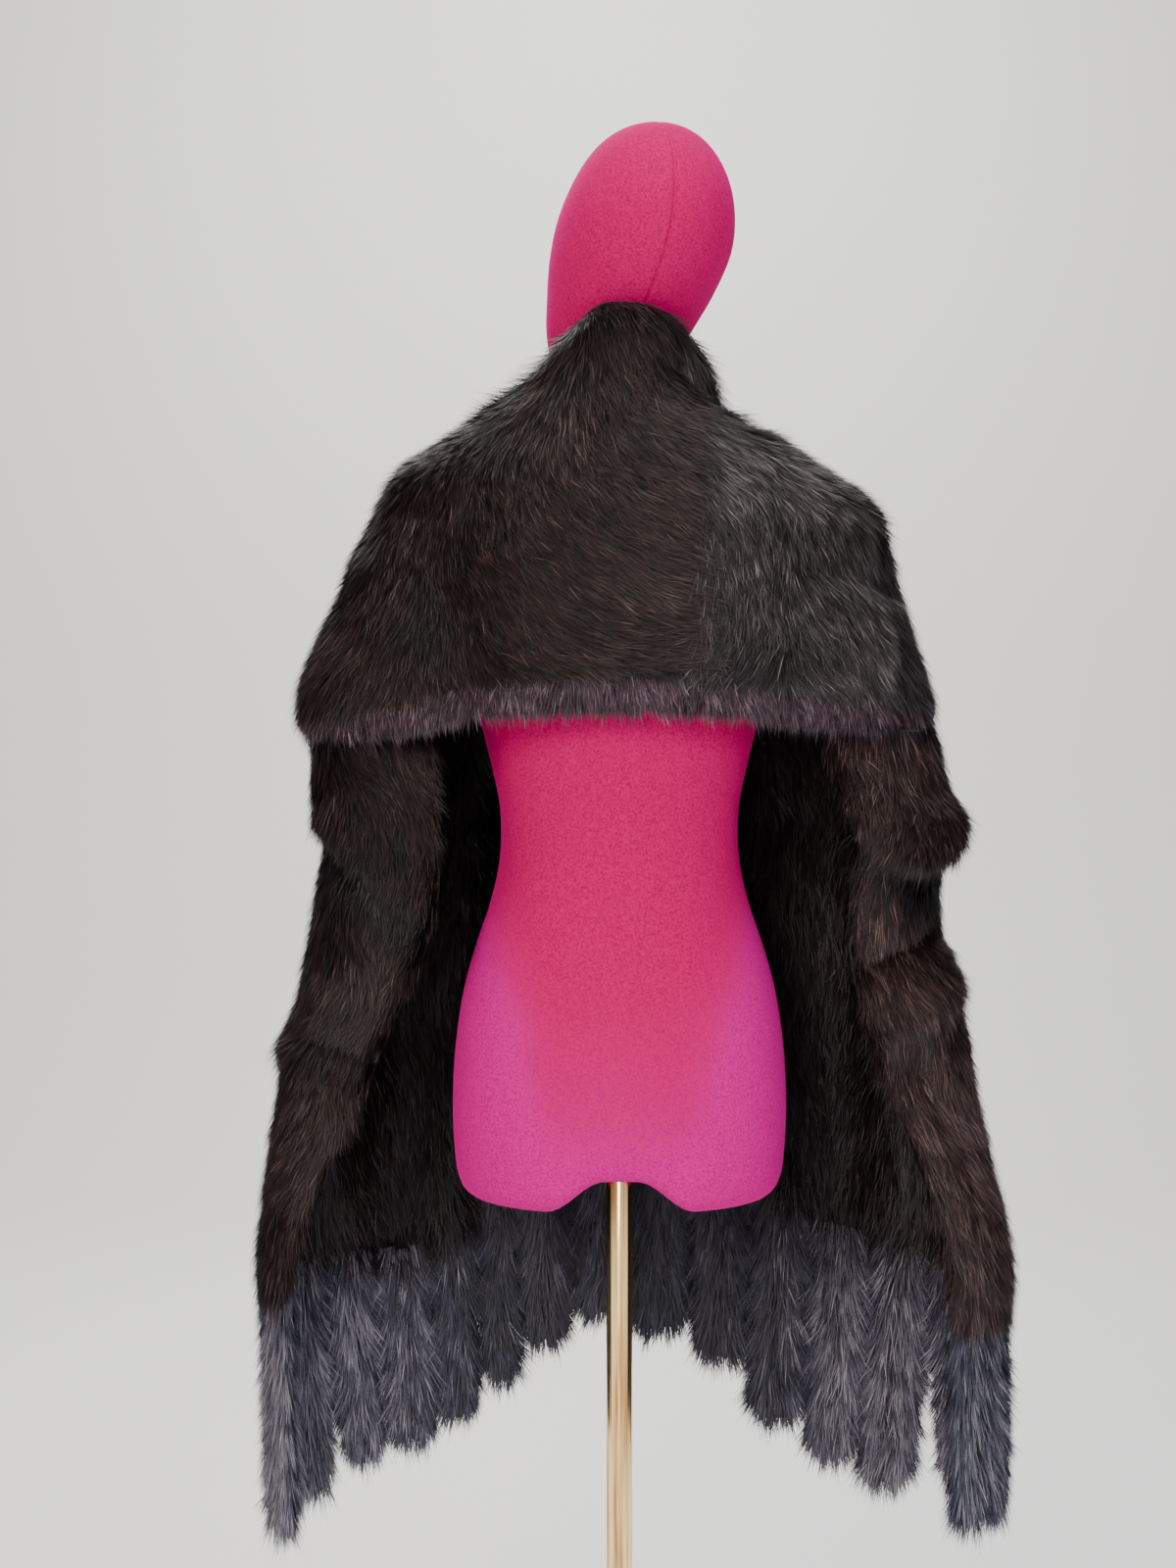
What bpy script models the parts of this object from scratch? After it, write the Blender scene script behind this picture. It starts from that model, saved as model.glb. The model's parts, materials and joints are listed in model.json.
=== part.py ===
"""A faux fur cape with a fringe of fur tails, worn by a limbless dress form on a stand.

Metres, +Z up, standing on Z = 0. The form faces -Y, so the cape's back faces +Y and the wearer's left is +X.
The cape is one wide double-faced fur wrapped round the shoulders: a back with a standing collar edge, two
fronts that hang to the hip, and the two turned-back sides where each front folds round towards the back.
Its walls reach as far as the pile does, inside and out.
"""

import math
from collections import namedtuple

import bmesh
import bpy
import numpy as np

# ---------------------------------------------------------------- driving sizes
PILE_WALL = 0.028  # cloth with its lying pile on both faces
SEAM_GAP = 0.0004  # between two pieces that are sewn together
STRIP_GAP = 0.0009  # between the slanting hem and the fringe's strip
FORM_BOTTOM = 0.719  # underside of the two lobes of the form
POLE_RADIUS = 0.0125
BASE_RADIUS = 0.165
HEM_BAND = 0.033  # height of the band along the back's lower edge
FRINGE_STRIP = 0.012  # height of the strip that the tails hang from
FRONT_OPENING = math.radians(198)  # the wearer's left front crosses the middle to here
TURN_DROP = 0.0025  # the turned-back side's top stays this far below the back's edge
FRONT_GAP = 0.006  # between the two fronts' free edges
BACK_SEAM_X = -0.0725  # the back's upright seam stands off centre

RING_BACK = 2.2  # superellipse exponents of the level sections
RING_FRONT = 2.4
SIDE = math.pi / 2

# Level sections of the cape's outer reach: height, then how far it reaches each way.
Section = namedtuple("Section", "z left right back front")
CAPE = (
    Section(1.600, 0.066, 0.088, 0.099, 0.070),
    Section(1.555, 0.073, 0.095, 0.100, 0.078),
    Section(1.522, 0.093, 0.104, 0.099, 0.085),
    Section(1.498, 0.114, 0.110, 0.099, 0.091),
    Section(1.479, 0.138, 0.120, 0.101, 0.096),
    Section(1.460, 0.164, 0.149, 0.103, 0.101),
    Section(1.427, 0.213, 0.200, 0.108, 0.111),
    Section(1.403, 0.232, 0.236, 0.111, 0.118),
    Section(1.384, 0.241, 0.254, 0.114, 0.125),
    Section(1.356, 0.254, 0.266, 0.117, 0.136),
    Section(1.308, 0.273, 0.279, 0.121, 0.153),
    Section(1.261, 0.296, 0.292, 0.123, 0.163),
    Section(1.213, 0.314, 0.306, 0.125, 0.167),
    Section(1.185, 0.316, 0.311, 0.126, 0.169),
    Section(1.150, 0.306, 0.317, 0.127, 0.170),
    Section(1.118, 0.294, 0.323, 0.127, 0.171),
    Section(1.090, 0.292, 0.329, 0.127, 0.172),
    Section(1.060, 0.293, 0.323, 0.127, 0.173),
    Section(1.020, 0.299, 0.317, 0.127, 0.175),
    Section(0.960, 0.309, 0.324, 0.127, 0.177),
    Section(0.920, 0.317, 0.334, 0.127, 0.179),
    Section(0.880, 0.332, 0.342, 0.127, 0.181),
    Section(0.833, 0.336, 0.350, 0.127, 0.183),
    Section(0.738, 0.349, 0.371, 0.127, 0.187),
    Section(0.655, 0.357, 0.386, 0.127, 0.190),
    Section(0.600, 0.352, 0.384, 0.127, 0.190),
)

# The turned-back sides: how near the middle their free edge comes, and how far back they reach.
Turn = namedtuple("Turn", "z left_edge right_edge left_depth right_depth")
TURNS = (
    Turn(1.200, 0.155, 0.170, 0.070, 0.072),
    Turn(1.125, 0.155, 0.185, 0.074, 0.076),
    Turn(1.090, 0.155, 0.202, 0.075, 0.080),
    Turn(0.995, 0.156, 0.202, 0.074, 0.080),
    Turn(0.928, 0.181, 0.206, 0.072, 0.078),
    Turn(0.880, 0.205, 0.220, 0.070, 0.076),
    Turn(0.833, 0.225, 0.238, 0.068, 0.075),
    Turn(0.786, 0.249, 0.259, 0.066, 0.074),
    Turn(0.738, 0.275, 0.276, 0.064, 0.072),
    Turn(0.690, 0.300, 0.292, 0.062, 0.070),
    Turn(0.600, 0.316, 0.306, 0.060, 0.068),
)

# Edge heights by the angle round the body: 0 at the back, +90 at the wearer's left, 180 in front.
Edge = namedtuple("Edge", "angle z")
NECK_EDGE = (
    Edge(-180, 1.300), Edge(-165, 1.325), Edge(-150, 1.360), Edge(-130, 1.410),
    Edge(-110, 1.455), Edge(-90, 1.488), Edge(-70, 1.517), Edge(-50, 1.543),
    Edge(-30, 1.564), Edge(0, 1.573), Edge(25, 1.569), Edge(50, 1.549),
    Edge(70, 1.519), Edge(90, 1.492), Edge(110, 1.457), Edge(130, 1.410),
    Edge(150, 1.360), Edge(165, 1.325), Edge(180, 1.300),
)
BACK_EDGE = (
    Edge(-90, 1.186), Edge(-75, 1.176), Edge(-50, 1.173), Edge(-30, 1.180),
    Edge(-10, 1.189), Edge(10, 1.189), Edge(25, 1.185), Edge(35, 1.174),
    Edge(50, 1.165), Edge(70, 1.160), Edge(90, 1.166),
)
LEFT_HEM = (
    Edge(30, 0.638), Edge(60, 0.638), Edge(90, 0.638), Edge(104, 0.638), Edge(120, 0.632), Edge(137, 0.629),
    Edge(150, 0.635), Edge(157, 0.657), Edge(163, 0.692), Edge(170, 0.735), Edge(180, 0.752),
    Edge(190, 0.750), Edge(200, 0.742),
)
RIGHT_HEM = (
    Edge(-165, 0.712), Edge(-157, 0.676), Edge(-150, 0.655), Edge(-137, 0.640), Edge(-120, 0.629),
    Edge(-104, 0.619), Edge(-90, 0.619), Edge(-60, 0.619), Edge(-30, 0.619),
)

# Soft folds, as seen from behind or in front: a line, how far the cloth stands proud there (below 0 it
# sinks), and how quickly that fades above the line and below it.
Fold = namedtuple("Fold", "x0 z0 x1 z1 height above below")
BACK_FOLDS = (
    Fold(-0.062, 1.513, -0.120, 1.480, -0.013, 0.011, 0.013),
    Fold(-0.262, 1.345, -0.280, 1.190, -0.014, 0.016, 0.016),
    Fold(-0.190, 1.328, -0.265, 1.316, -0.006, 0.018, 0.014),
    Fold(-0.150, 1.240, -0.245, 1.262, 0.006, 0.030, 0.030),
    Fold(0.185, 1.385, 0.150, 1.200, -0.006, 0.030, 0.030),
    Fold(0.240, 1.330, 0.265, 1.215, 0.006, 0.030, 0.035),
)
LEFT_TURN_FOLDS = (
    Fold(0.300, 1.104, 0.160, 0.984, 0.016, 0.050, 0.011),
    Fold(0.176, 0.975, 0.300, 0.740, 0.007, 0.022, 0.030),
    Fold(0.345, 0.902, 0.235, 0.868, -0.008, 0.018, 0.018),
)
RIGHT_TURN_FOLDS = (
    Fold(-0.168, 1.140, -0.270, 1.058, 0.017, 0.045, 0.011),
    Fold(-0.270, 1.058, -0.340, 1.068, 0.017, 0.040, 0.011),
    Fold(-0.250, 0.962, -0.335, 0.992, -0.012, 0.015, 0.013),
    Fold(-0.235, 0.890, -0.335, 0.945, 0.009, 0.020, 0.022),
    Fold(-0.280, 0.860, -0.350, 0.760, -0.008, 0.022, 0.020),
)
FRONT_FOLDS = (
    Fold(0.095, 1.300, 0.120, 0.690, 0.012, 0.034, 0.030),
    Fold(0.150, 1.190, 0.182, 0.650, -0.011, 0.024, 0.026),
    Fold(0.210, 1.270, 0.245, 0.660, 0.011, 0.030, 0.030),
    Fold(0.048, 1.120, 0.050, 0.760, -0.008, 0.022, 0.020),
    Fold(0.262, 1.120, 0.300, 0.720, -0.008, 0.022, 0.022),
    Fold(-0.085, 1.290, -0.100, 0.720, 0.011, 0.032, 0.034),
    Fold(-0.150, 1.230, -0.165, 0.690, -0.012, 0.026, 0.024),
    Fold(-0.215, 1.250, -0.240, 0.650, 0.012, 0.032, 0.030),
    Fold(-0.275, 1.080, -0.300, 0.700, -0.009, 0.022, 0.024),
)

# One row for each tail, from the turned-back side round to the front opening: its length, its width as a
# share of its root, how far its tip swings along the hem and away from the body.
Tail = namedtuple("Tail", "length width swing out")
LEFT_TAILS = (
    Tail(0.240, 1.00, -0.036, 0.012), Tail(0.244, 0.92, 0.012, -0.018),
    Tail(0.246, 0.84, 0.015, -0.006), Tail(0.220, 0.82, 0.024, 0.002),
    Tail(0.211, 0.84, 0.014, 0.004), Tail(0.210, 0.88, 0.006, 0.006),
    Tail(0.216, 0.88, 0.004, 0.004), Tail(0.214, 0.92, -0.003, 0.006),
    Tail(0.203, 0.92, 0.003, 0.004), Tail(0.222, 0.95, 0.000, 0.006),
    Tail(0.247, 0.92, 0.004, 0.004),
)
RIGHT_TAILS = (
    Tail(0.214, 1.00, -0.012, 0.010), Tail(0.230, 0.90, -0.008, -0.002),
    Tail(0.236, 0.80, -0.014, 0.002), Tail(0.258, 0.90, 0.026, 0.006),
    Tail(0.252, 0.80, 0.010, 0.006), Tail(0.242, 0.90, 0.004, 0.006),
)

# The dress form: half width, and how far it reaches back and front at each height.
Ring = namedtuple("Ring", "z half back front")
TORSO = (
    Ring(0.7230, 0.1420, 0.098, 0.078), Ring(0.7290, 0.1495, 0.105, 0.085),
    Ring(0.7430, 0.1560, 0.110, 0.089), Ring(0.7660, 0.1592, 0.115, 0.092),
    Ring(0.7980, 0.1610, 0.119, 0.095), Ring(0.8330, 0.1606, 0.121, 0.096),
    Ring(0.8805, 0.1568, 0.118, 0.096), Ring(0.9280, 0.1487, 0.107, 0.092),
    Ring(0.9660, 0.1378, 0.096, 0.088), Ring(1.0040, 0.1250, 0.086, 0.083),
    Ring(1.0420, 0.1164, 0.080, 0.080), Ring(1.0705, 0.1145, 0.078, 0.080),
    Ring(1.0990, 0.1160, 0.079, 0.083), Ring(1.1370, 0.1240, 0.082, 0.093),
    Ring(1.1750, 0.1335, 0.086, 0.106), Ring(1.2200, 0.1440, 0.089, 0.119),
    Ring(1.2650, 0.1530, 0.090, 0.124), Ring(1.3100, 0.1640, 0.089, 0.113),
    Ring(1.3500, 0.1790, 0.0870, 0.098), Ring(1.3780, 0.1870, 0.0857, 0.088),
    Ring(1.3960, 0.1860, 0.0800, 0.080), Ring(1.4105, 0.1720, 0.0760, 0.075),
    Ring(1.4245, 0.1480, 0.0720, 0.070), Ring(1.4382, 0.1175, 0.0670, 0.067),
    Ring(1.4530, 0.0880, 0.0610, 0.064), Ring(1.4700, 0.0670, 0.0540, 0.060),
    Ring(1.4950, 0.0550, 0.047, 0.058),
)
NOTCH_HEIGHT = 0.030  # the groove between the two lobes, where the pole goes in
NOTCH_FLAT = 0.0145
NOTCH_REACH = 0.070
NOTCH_FADE = 0.060
BASE_CAP_RINGS = (0.90, 0.66, 0.40)  # shares of the lowest ring, across the underside
TORSO_SIDES = 32

# The egg-shaped head, turned a little to the wearer's left: centre and half sizes across and along it.
HeadRing = namedtuple("HeadRing", "z x y across along")
HEAD_TURN = math.radians(28)
HEAD = (
    HeadRing(1.4970, 0.0000, -0.006, 0.0530, 0.0530), HeadRing(1.5180, 0.0040, -0.014, 0.0545, 0.0600),
    HeadRing(1.5380, 0.0050, -0.022, 0.0600, 0.0700), HeadRing(1.5600, 0.0000, -0.022, 0.0680, 0.0820),
    HeadRing(1.5930, -0.0105, -0.012, 0.0765, 0.0970), HeadRing(1.6310, -0.0200, -0.001, 0.0825, 0.1055),
    HeadRing(1.6600, -0.0240, 0.006, 0.0805, 0.1035), HeadRing(1.6870, -0.0270, 0.010, 0.0740, 0.0940),
    HeadRing(1.7090, -0.0285, 0.012, 0.0645, 0.0810), HeadRing(1.7270, -0.0295, 0.012, 0.0530, 0.0650),
    HeadRing(1.7400, -0.0300, 0.012, 0.0390, 0.0470), HeadRing(1.7475, -0.0302, 0.012, 0.0240, 0.0285),
)
HEAD_TOP = 1.7507
HEAD_SIDES = 28

BASE_PROFILE = (  # radius and height, from the floor edge up to the socket's mouth
    (BASE_RADIUS, 0.000), (BASE_RADIUS, 0.007), (BASE_RADIUS - 0.003, 0.010), (0.060, 0.016),
    (0.034, 0.020), (0.024, 0.030), (0.021, 0.062), (0.0185, 0.065),
)
SOCKET_BOTTOM = 0.012  # the pole stands in the base's socket down to here
ROUND_SIDES = 40


# ---------------------------------------------------------------- shared helpers
def clear_scene():
    """Removes what the scene holds, one object at a time."""
    for obj in list(bpy.data.objects):
        bpy.data.objects.remove(obj, do_unlink=True)


def make_material(name, colour, roughness, metallic=0.0):
    """A Principled BSDF of one colour, given as linear red, green and blue."""
    material = bpy.data.materials.new(name)
    material.use_nodes = True
    shader = material.node_tree.nodes["Principled BSDF"]
    shader.inputs["Base Color"].default_value = (*colour, 1.0)
    shader.inputs["Roughness"].default_value = roughness
    shader.inputs["Metallic"].default_value = metallic
    return material


def add_mesh(name, points, faces, material):
    """Links a closed mesh as one smooth-shaded object, with its faces turned outwards."""
    mesh = bpy.data.meshes.new(name)
    mesh.from_pydata([tuple(p) for p in points], [], faces)
    shape = bmesh.new()
    shape.from_mesh(mesh)
    bmesh.ops.recalc_face_normals(shape, faces=shape.faces)
    bmesh.ops.triangulate(shape, faces=shape.faces)
    shape.to_mesh(mesh)
    shape.free()
    mesh.shade_smooth()
    mesh.set_sharp_from_angle(angle=math.radians(50))
    mesh.materials.append(material)
    obj = bpy.data.objects.new(name, mesh)
    bpy.context.scene.collection.objects.link(obj)
    return obj


def through(rows, column, at):
    """Reads one column of a table at any place: a smooth curve through its rows, in order of the first column."""
    rows = sorted(rows, key=lambda row: row[0])
    places = np.array([row[0] for row in rows])
    values = np.array([getattr(row, column) for row in rows])
    at = np.clip(np.asarray(at, float), places[0], places[-1])
    slopes = np.gradient(values, places)
    k = np.clip(np.searchsorted(places, at, side="right") - 1, 0, len(rows) - 2)
    span = places[k + 1] - places[k]
    t = (at - places[k]) / span
    rise = values[k + 1] - values[k]
    start = slopes[k] * span
    end = slopes[k + 1] * span
    return values[k] + t * start + t**2 * (3 * rise - 2 * start - end) + t**3 * (start + end - 2 * rise)


def edge_height(rows, angle):
    """Height of an edge at an angle in radians, for a table whose rows go round once."""
    return through(rows, "z", np.degrees(angle))


def neck_height(angle):
    """Height of the neck edge, also past the middle of the front."""
    return edge_height(NECK_EDGE, (angle + math.pi) % (2 * math.pi) - math.pi)


def signed_power(value, power):
    return np.sign(value) * np.abs(value) ** power


def fold_height(folds, x, z):
    """Sum of the soft folds at the places x, z: each is a bell across its line, which fades past its ends."""
    total = np.zeros_like(x)
    for fold in folds:
        run = np.array([fold.x1 - fold.x0, fold.z1 - fold.z0])
        length = np.hypot(*run)
        run = run / length
        up = np.array([-run[1], run[0]]) * (1 if run[0] >= 0 else -1)
        along = (x - fold.x0) * run[0] + (z - fold.z0) * run[1]
        across = (x - fold.x0) * up[0] + (z - fold.z0) * up[1]
        fade = np.where(across > 0, fold.above, fold.below)
        past = np.maximum(0, np.maximum(-along, along - length)) / 0.025
        total += fold.height * np.exp(-((across / fade) ** 2) - past**2)
    return total


def cape_surface(angle, z, turned):
    """Middle of the cape's wall at an angle round the body and a height. turned picks the turned-back side."""
    left = np.sin(angle) >= 0
    behind = np.cos(angle) >= 0
    half = np.where(left, through(CAPE, "left", z), through(CAPE, "right", z))
    if turned:
        depth = np.where(left, through(TURNS, "left_depth", z), through(TURNS, "right_depth", z))
    else:
        depth = through(CAPE, "back", z)
    depth = np.where(behind, depth, through(CAPE, "front", z))
    power = np.where(behind, 2 / RING_BACK, 2 / RING_FRONT)
    x = half * signed_power(np.sin(angle), power)
    y = depth * signed_power(np.cos(angle), power)
    if turned:
        # A turned-back side is a round bend as wide as it is deep, and then lies level.
        into_bend = np.clip((np.abs(x) - (half - depth)) / depth, 0, 1)
        y = np.where(behind, depth * np.sqrt(1 - into_bend**2), y)
    return np.stack([x, y, z], axis=-1)


def surface_normal(angle, z, turned, surface):
    """Outward direction, from small steps along the surface. It stays in the X-Z plane at the two sides."""
    step_a = 0.02
    step_z = 0.004
    along = surface(angle + step_a, z, turned) - surface(angle - step_a, z, turned)
    up = surface(angle, z + step_z, turned) - surface(angle, z - step_z, turned)
    normal = np.cross(up, along)
    at_side = np.abs(np.cos(angle)) < 1e-3
    normal[..., 1] = np.where(at_side, 0, normal[..., 1])
    at_middle = np.abs(np.sin(angle)) < 1e-3
    normal[..., 0] = np.where(at_middle, 0, normal[..., 0])
    return normal / np.linalg.norm(normal, axis=-1, keepdims=True)


def folded_surface(angle, z, turned):
    """The outer reach sunk by half the wall, with the folds of that part of the cape."""
    reach = cape_surface(angle, z, turned)
    normal = surface_normal(angle, z, turned, cape_surface)
    behind = np.cos(angle) >= 0
    x = reach[..., 0]
    if turned:
        back = np.where(x > 0, fold_height(LEFT_TURN_FOLDS, x, z), fold_height(RIGHT_TURN_FOLDS, x, z))
    else:
        back = fold_height(BACK_FOLDS, x, z)
    height = np.where(behind, back, fold_height(FRONT_FOLDS, x, z))
    height = height * np.minimum(1, np.abs(np.cos(angle)) / 0.22)
    return reach + normal * (height - PILE_WALL / 2)[..., None]


def spaced(count, size, round_first, round_last):
    """Places from 0 to 1 along a piece of that size, closer together at an edge that is rounded, and how
    thick the wall is at each."""
    radius = PILE_WALL * 0.5
    marks = [(0.0, 0.42), (radius * 0.28 / size, 0.80), (radius / size, 1.0)]
    inner = np.linspace(0, 1, count + 1)
    rows = [(t, 1.0) for t in inner[1:-1]]
    low = marks if round_first else [(0.0, 1.0)]
    high = [(1 - t, m) for t, m in marks] if round_last else [(1.0, 1.0)]
    clear = radius * 1.3 / size
    rows = [r for r in rows if (not round_first or r[0] > clear) and (not round_last or r[0] < 1 - clear)]
    rows = sorted(low + rows + high)
    return np.array([r[0] for r in rows]), np.array([r[1] for r in rows])


def level_tangent(angle, z, turned):
    """Level direction along the cape's wall, the way that the angle grows."""
    step = 0.02
    run = folded_surface(angle + step, z, turned) - folded_surface(angle - step, z, turned)
    run[..., 0] = np.where(np.abs(np.cos(angle)) < 1e-3, 0, run[..., 0])
    return levelled(run)


def levelled(normal):
    """The same direction with no rise."""
    flat = normal * (1, 1, 0)
    return flat / np.linalg.norm(flat, axis=-1, keepdims=True)


def wall(name, angle, z, thick, turned, gaps, material, level_hem=False):
    """A closed wall round the grid of angles and heights, thick being its thickness at each point. gaps is
    how far the first and the last column draw back from their seams. level_hem makes the lowest rim flat."""
    middle = folded_surface(angle, z, turned)
    for column, gap in ((0, gaps[0]), (-1, gaps[1])):
        inward = np.sign(angle[0, angle.shape[1] // 2] - angle[0, column])
        middle[:, column] += inward * gap * level_tangent(angle, z, turned)[:, column]
    normal = surface_normal(angle, z, turned, folded_surface)
    if level_hem:
        middle[0, :, 2] = z[0]
        normal[0] = levelled(normal[0])
    outer = middle + normal * thick[..., None] / 2
    inner = middle - normal * thick[..., None] / 2
    rows, columns = angle.shape
    index = np.arange(rows * columns).reshape(rows, columns)
    behind = index + rows * columns
    faces = []
    for i in range(rows - 1):
        for j in range(columns - 1):
            faces.append((index[i, j], index[i, j + 1], index[i + 1, j + 1], index[i + 1, j]))
            faces.append((behind[i, j], behind[i + 1, j], behind[i + 1, j + 1], behind[i, j + 1]))
    rim = [(i, 0) for i in range(rows)] + [(rows - 1, j) for j in range(1, columns)]
    rim += [(i, columns - 1) for i in range(rows - 2, -1, -1)] + [(0, j) for j in range(columns - 2, 0, -1)]
    for (i, j), (k, m) in zip(rim, rim[1:] + rim[:1]):
        faces.append((index[i, j], index[k, m], behind[k, m], behind[i, j]))
    faces = [tuple(int(v) for v in face) for face in faces]
    points = np.concatenate([outer.reshape(-1, 3), inner.reshape(-1, 3)])
    return add_mesh(name, points, faces, material)


def angle_at_x(x, z):
    """Angle at which the back of the cape's outer reach has that x."""
    half = np.where(x > 0, through(CAPE, "left", z), through(CAPE, "right", z))
    share = np.clip(np.abs(x) / half, 0, 0.97)
    return np.sign(x) * np.arcsin(share ** (RING_BACK / 2))


# ---------------------------------------------------------------- the cape's pieces
def back_seam_angle(z):
    """The upright back seam keeps its x, and leans in with the collar at the top."""
    x = np.where(z > 1.49, BACK_SEAM_X + (z - 1.49) * 0.25, BACK_SEAM_X)
    return angle_at_x(x, z)


def back_grid(side, across, rows, low, high):
    """Angles, heights and thickness of a back piece: side +1 is the wearer's left of the seam, -1 the right
    of it. low and high give the edge heights at an angle."""
    t, t_thick = rows
    z = np.full((len(t), len(across)), 1.35)
    for _ in range(4):
        seam = back_seam_angle(z)
        angle = seam + (side * SIDE - seam) * across
        z = low(angle) + (high(angle) - low(angle)) * t[:, None]
    return angle, z, PILE_WALL * t_thick[:, None] * np.ones(len(across))


def band_top(angle):
    return edge_height(BACK_EDGE, angle) + HEM_BAND


def build_back(material):
    """The back in two pieces either side of its seam, and the band sewn along their lower edge."""
    gaps = (SEAM_GAP / 2, SEAM_GAP / 2)
    for side, name, count in ((1, "left", 17), (-1, "right", 10)):
        across = np.linspace(0, 1, count + 1)
        grid = back_grid(side, across, spaced(14, 0.39, False, True), band_top, neck_height)
        wall(f"back_{name}", *grid, False, gaps, material)
        grid = back_grid(
            side, across, spaced(2, HEM_BAND, True, False),
            lambda a: edge_height(BACK_EDGE, a), lambda a: band_top(a) - SEAM_GAP)
        wall(f"hem_band_{name}", *grid, False, gaps, material)


def hem_height(angle):
    """Height of the lower edge of the two fronts and their turned-back sides."""
    return np.where(angle > 0, edge_height(LEFT_HEM, angle), edge_height(RIGHT_HEM, angle))


def opening_angle(side):
    """Angle of the front's free edge: the two fronts meet at one line, left of it and right of it."""
    return FRONT_OPENING if side > 0 else FRONT_OPENING - 2 * math.pi


def equal_arcs(side, count):
    """Angles from the side of the body to the front opening, equally far apart along the hem."""
    fine = np.linspace(side * SIDE, opening_angle(side), 400)
    points = cape_surface(fine, hem_height(fine), False)
    run = np.concatenate([[0], np.cumsum(np.linalg.norm(np.diff(points, axis=0), axis=1))])
    return np.interp(np.linspace(0, run[-1], count + 1), run, fine)


def build_front(side, name, tails, material):
    """A front, from the shoulder to the hem and from the side to the front opening."""
    places = equal_arcs(side, 2 * (len(tails) - 1))
    s_thick = np.ones(len(places))
    s_thick[-1] = 0.45
    t, t_thick = spaced(19, 0.75, False, True)
    angle = np.broadcast_to(places, (len(t), len(places)))
    low = hem_height(angle)
    z = low + (neck_height(angle) - low) * t[:, None]
    gaps = (SEAM_GAP / 2, FRONT_GAP / 2)
    wall(f"front_{name}", angle, z, PILE_WALL * t_thick[:, None] * s_thick, False, gaps, material, True)


def turn_angle(z, side):
    """Angle of a turned-back side's free edge."""
    column = "left" if side > 0 else "right"
    share = through(TURNS, column + "_edge", z) / through(CAPE, column, z)
    return side * np.arcsin(np.clip(share, 0, 0.98) ** (RING_BACK / 2))


def turn_top(angle):
    """The side's top edge lies under the back's band."""
    return edge_height(BACK_EDGE, angle) - TURN_DROP


def build_turned_side(side, name, material):
    """The side where a front folds round towards the back, from the back's lower edge to the hem."""
    s, s_thick = spaced(8, 0.17, True, False)
    t, t_thick = spaced(18, 0.52, False, True)
    z = np.full((len(t), len(s)), 0.9)
    for _ in range(6):
        edge = turn_angle(z, side)
        angle = edge + (side * SIDE - edge) * s
        low = hem_height(angle)
        z = low + (turn_top(angle) - low) * t[:, None]
    thick = PILE_WALL * t_thick[:, None] * s_thick
    wall(f"side_{name}", angle, z, thick, True, (0, SEAM_GAP / 2), material, True)


# Down a tail: how far as a share of its length, and its width and depth there as shares of the root's.
TAIL_RINGS = (
    (0.06, 1.00, 0.96), (0.30, 1.02, 1.02), (0.62, 1.02, 1.00), (0.84, 0.95, 0.92),
    (0.94, 0.78, 0.74), (0.985, 0.50, 0.46),
)
TAIL_GAP = 0.004  # between the roots of two tails


def fringe_columns(side, tails):
    """Middle points and outward directions of each tail's root, at its first edge, middle and last edge."""
    bottom = hem_height(np.array([side * SIDE]))[0]
    turned = np.linspace(turn_angle(bottom, side) + side * 0.05, side * SIDE, 3)[None, :]
    places = equal_arcs(side, 2 * (len(tails) - 1))
    front = np.stack([places[:-2:2], places[1:-1:2], places[2::2]], axis=1)
    columns = []
    for angle, is_turned in ((turned, True), (front, False)):
        hem = hem_height(angle)
        middle = folded_surface(angle, hem, is_turned)
        middle[..., 2] = hem
        for edge in (0, 2):
            run = middle[:, 1] - middle[:, edge]
            middle[:, edge] += run / np.linalg.norm(run, axis=-1, keepdims=True) * TAIL_GAP / 2
        columns.append((middle, levelled(surface_normal(angle, hem, is_turned, folded_surface))))
    return (np.concatenate(parts) for parts in zip(*columns))


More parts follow.
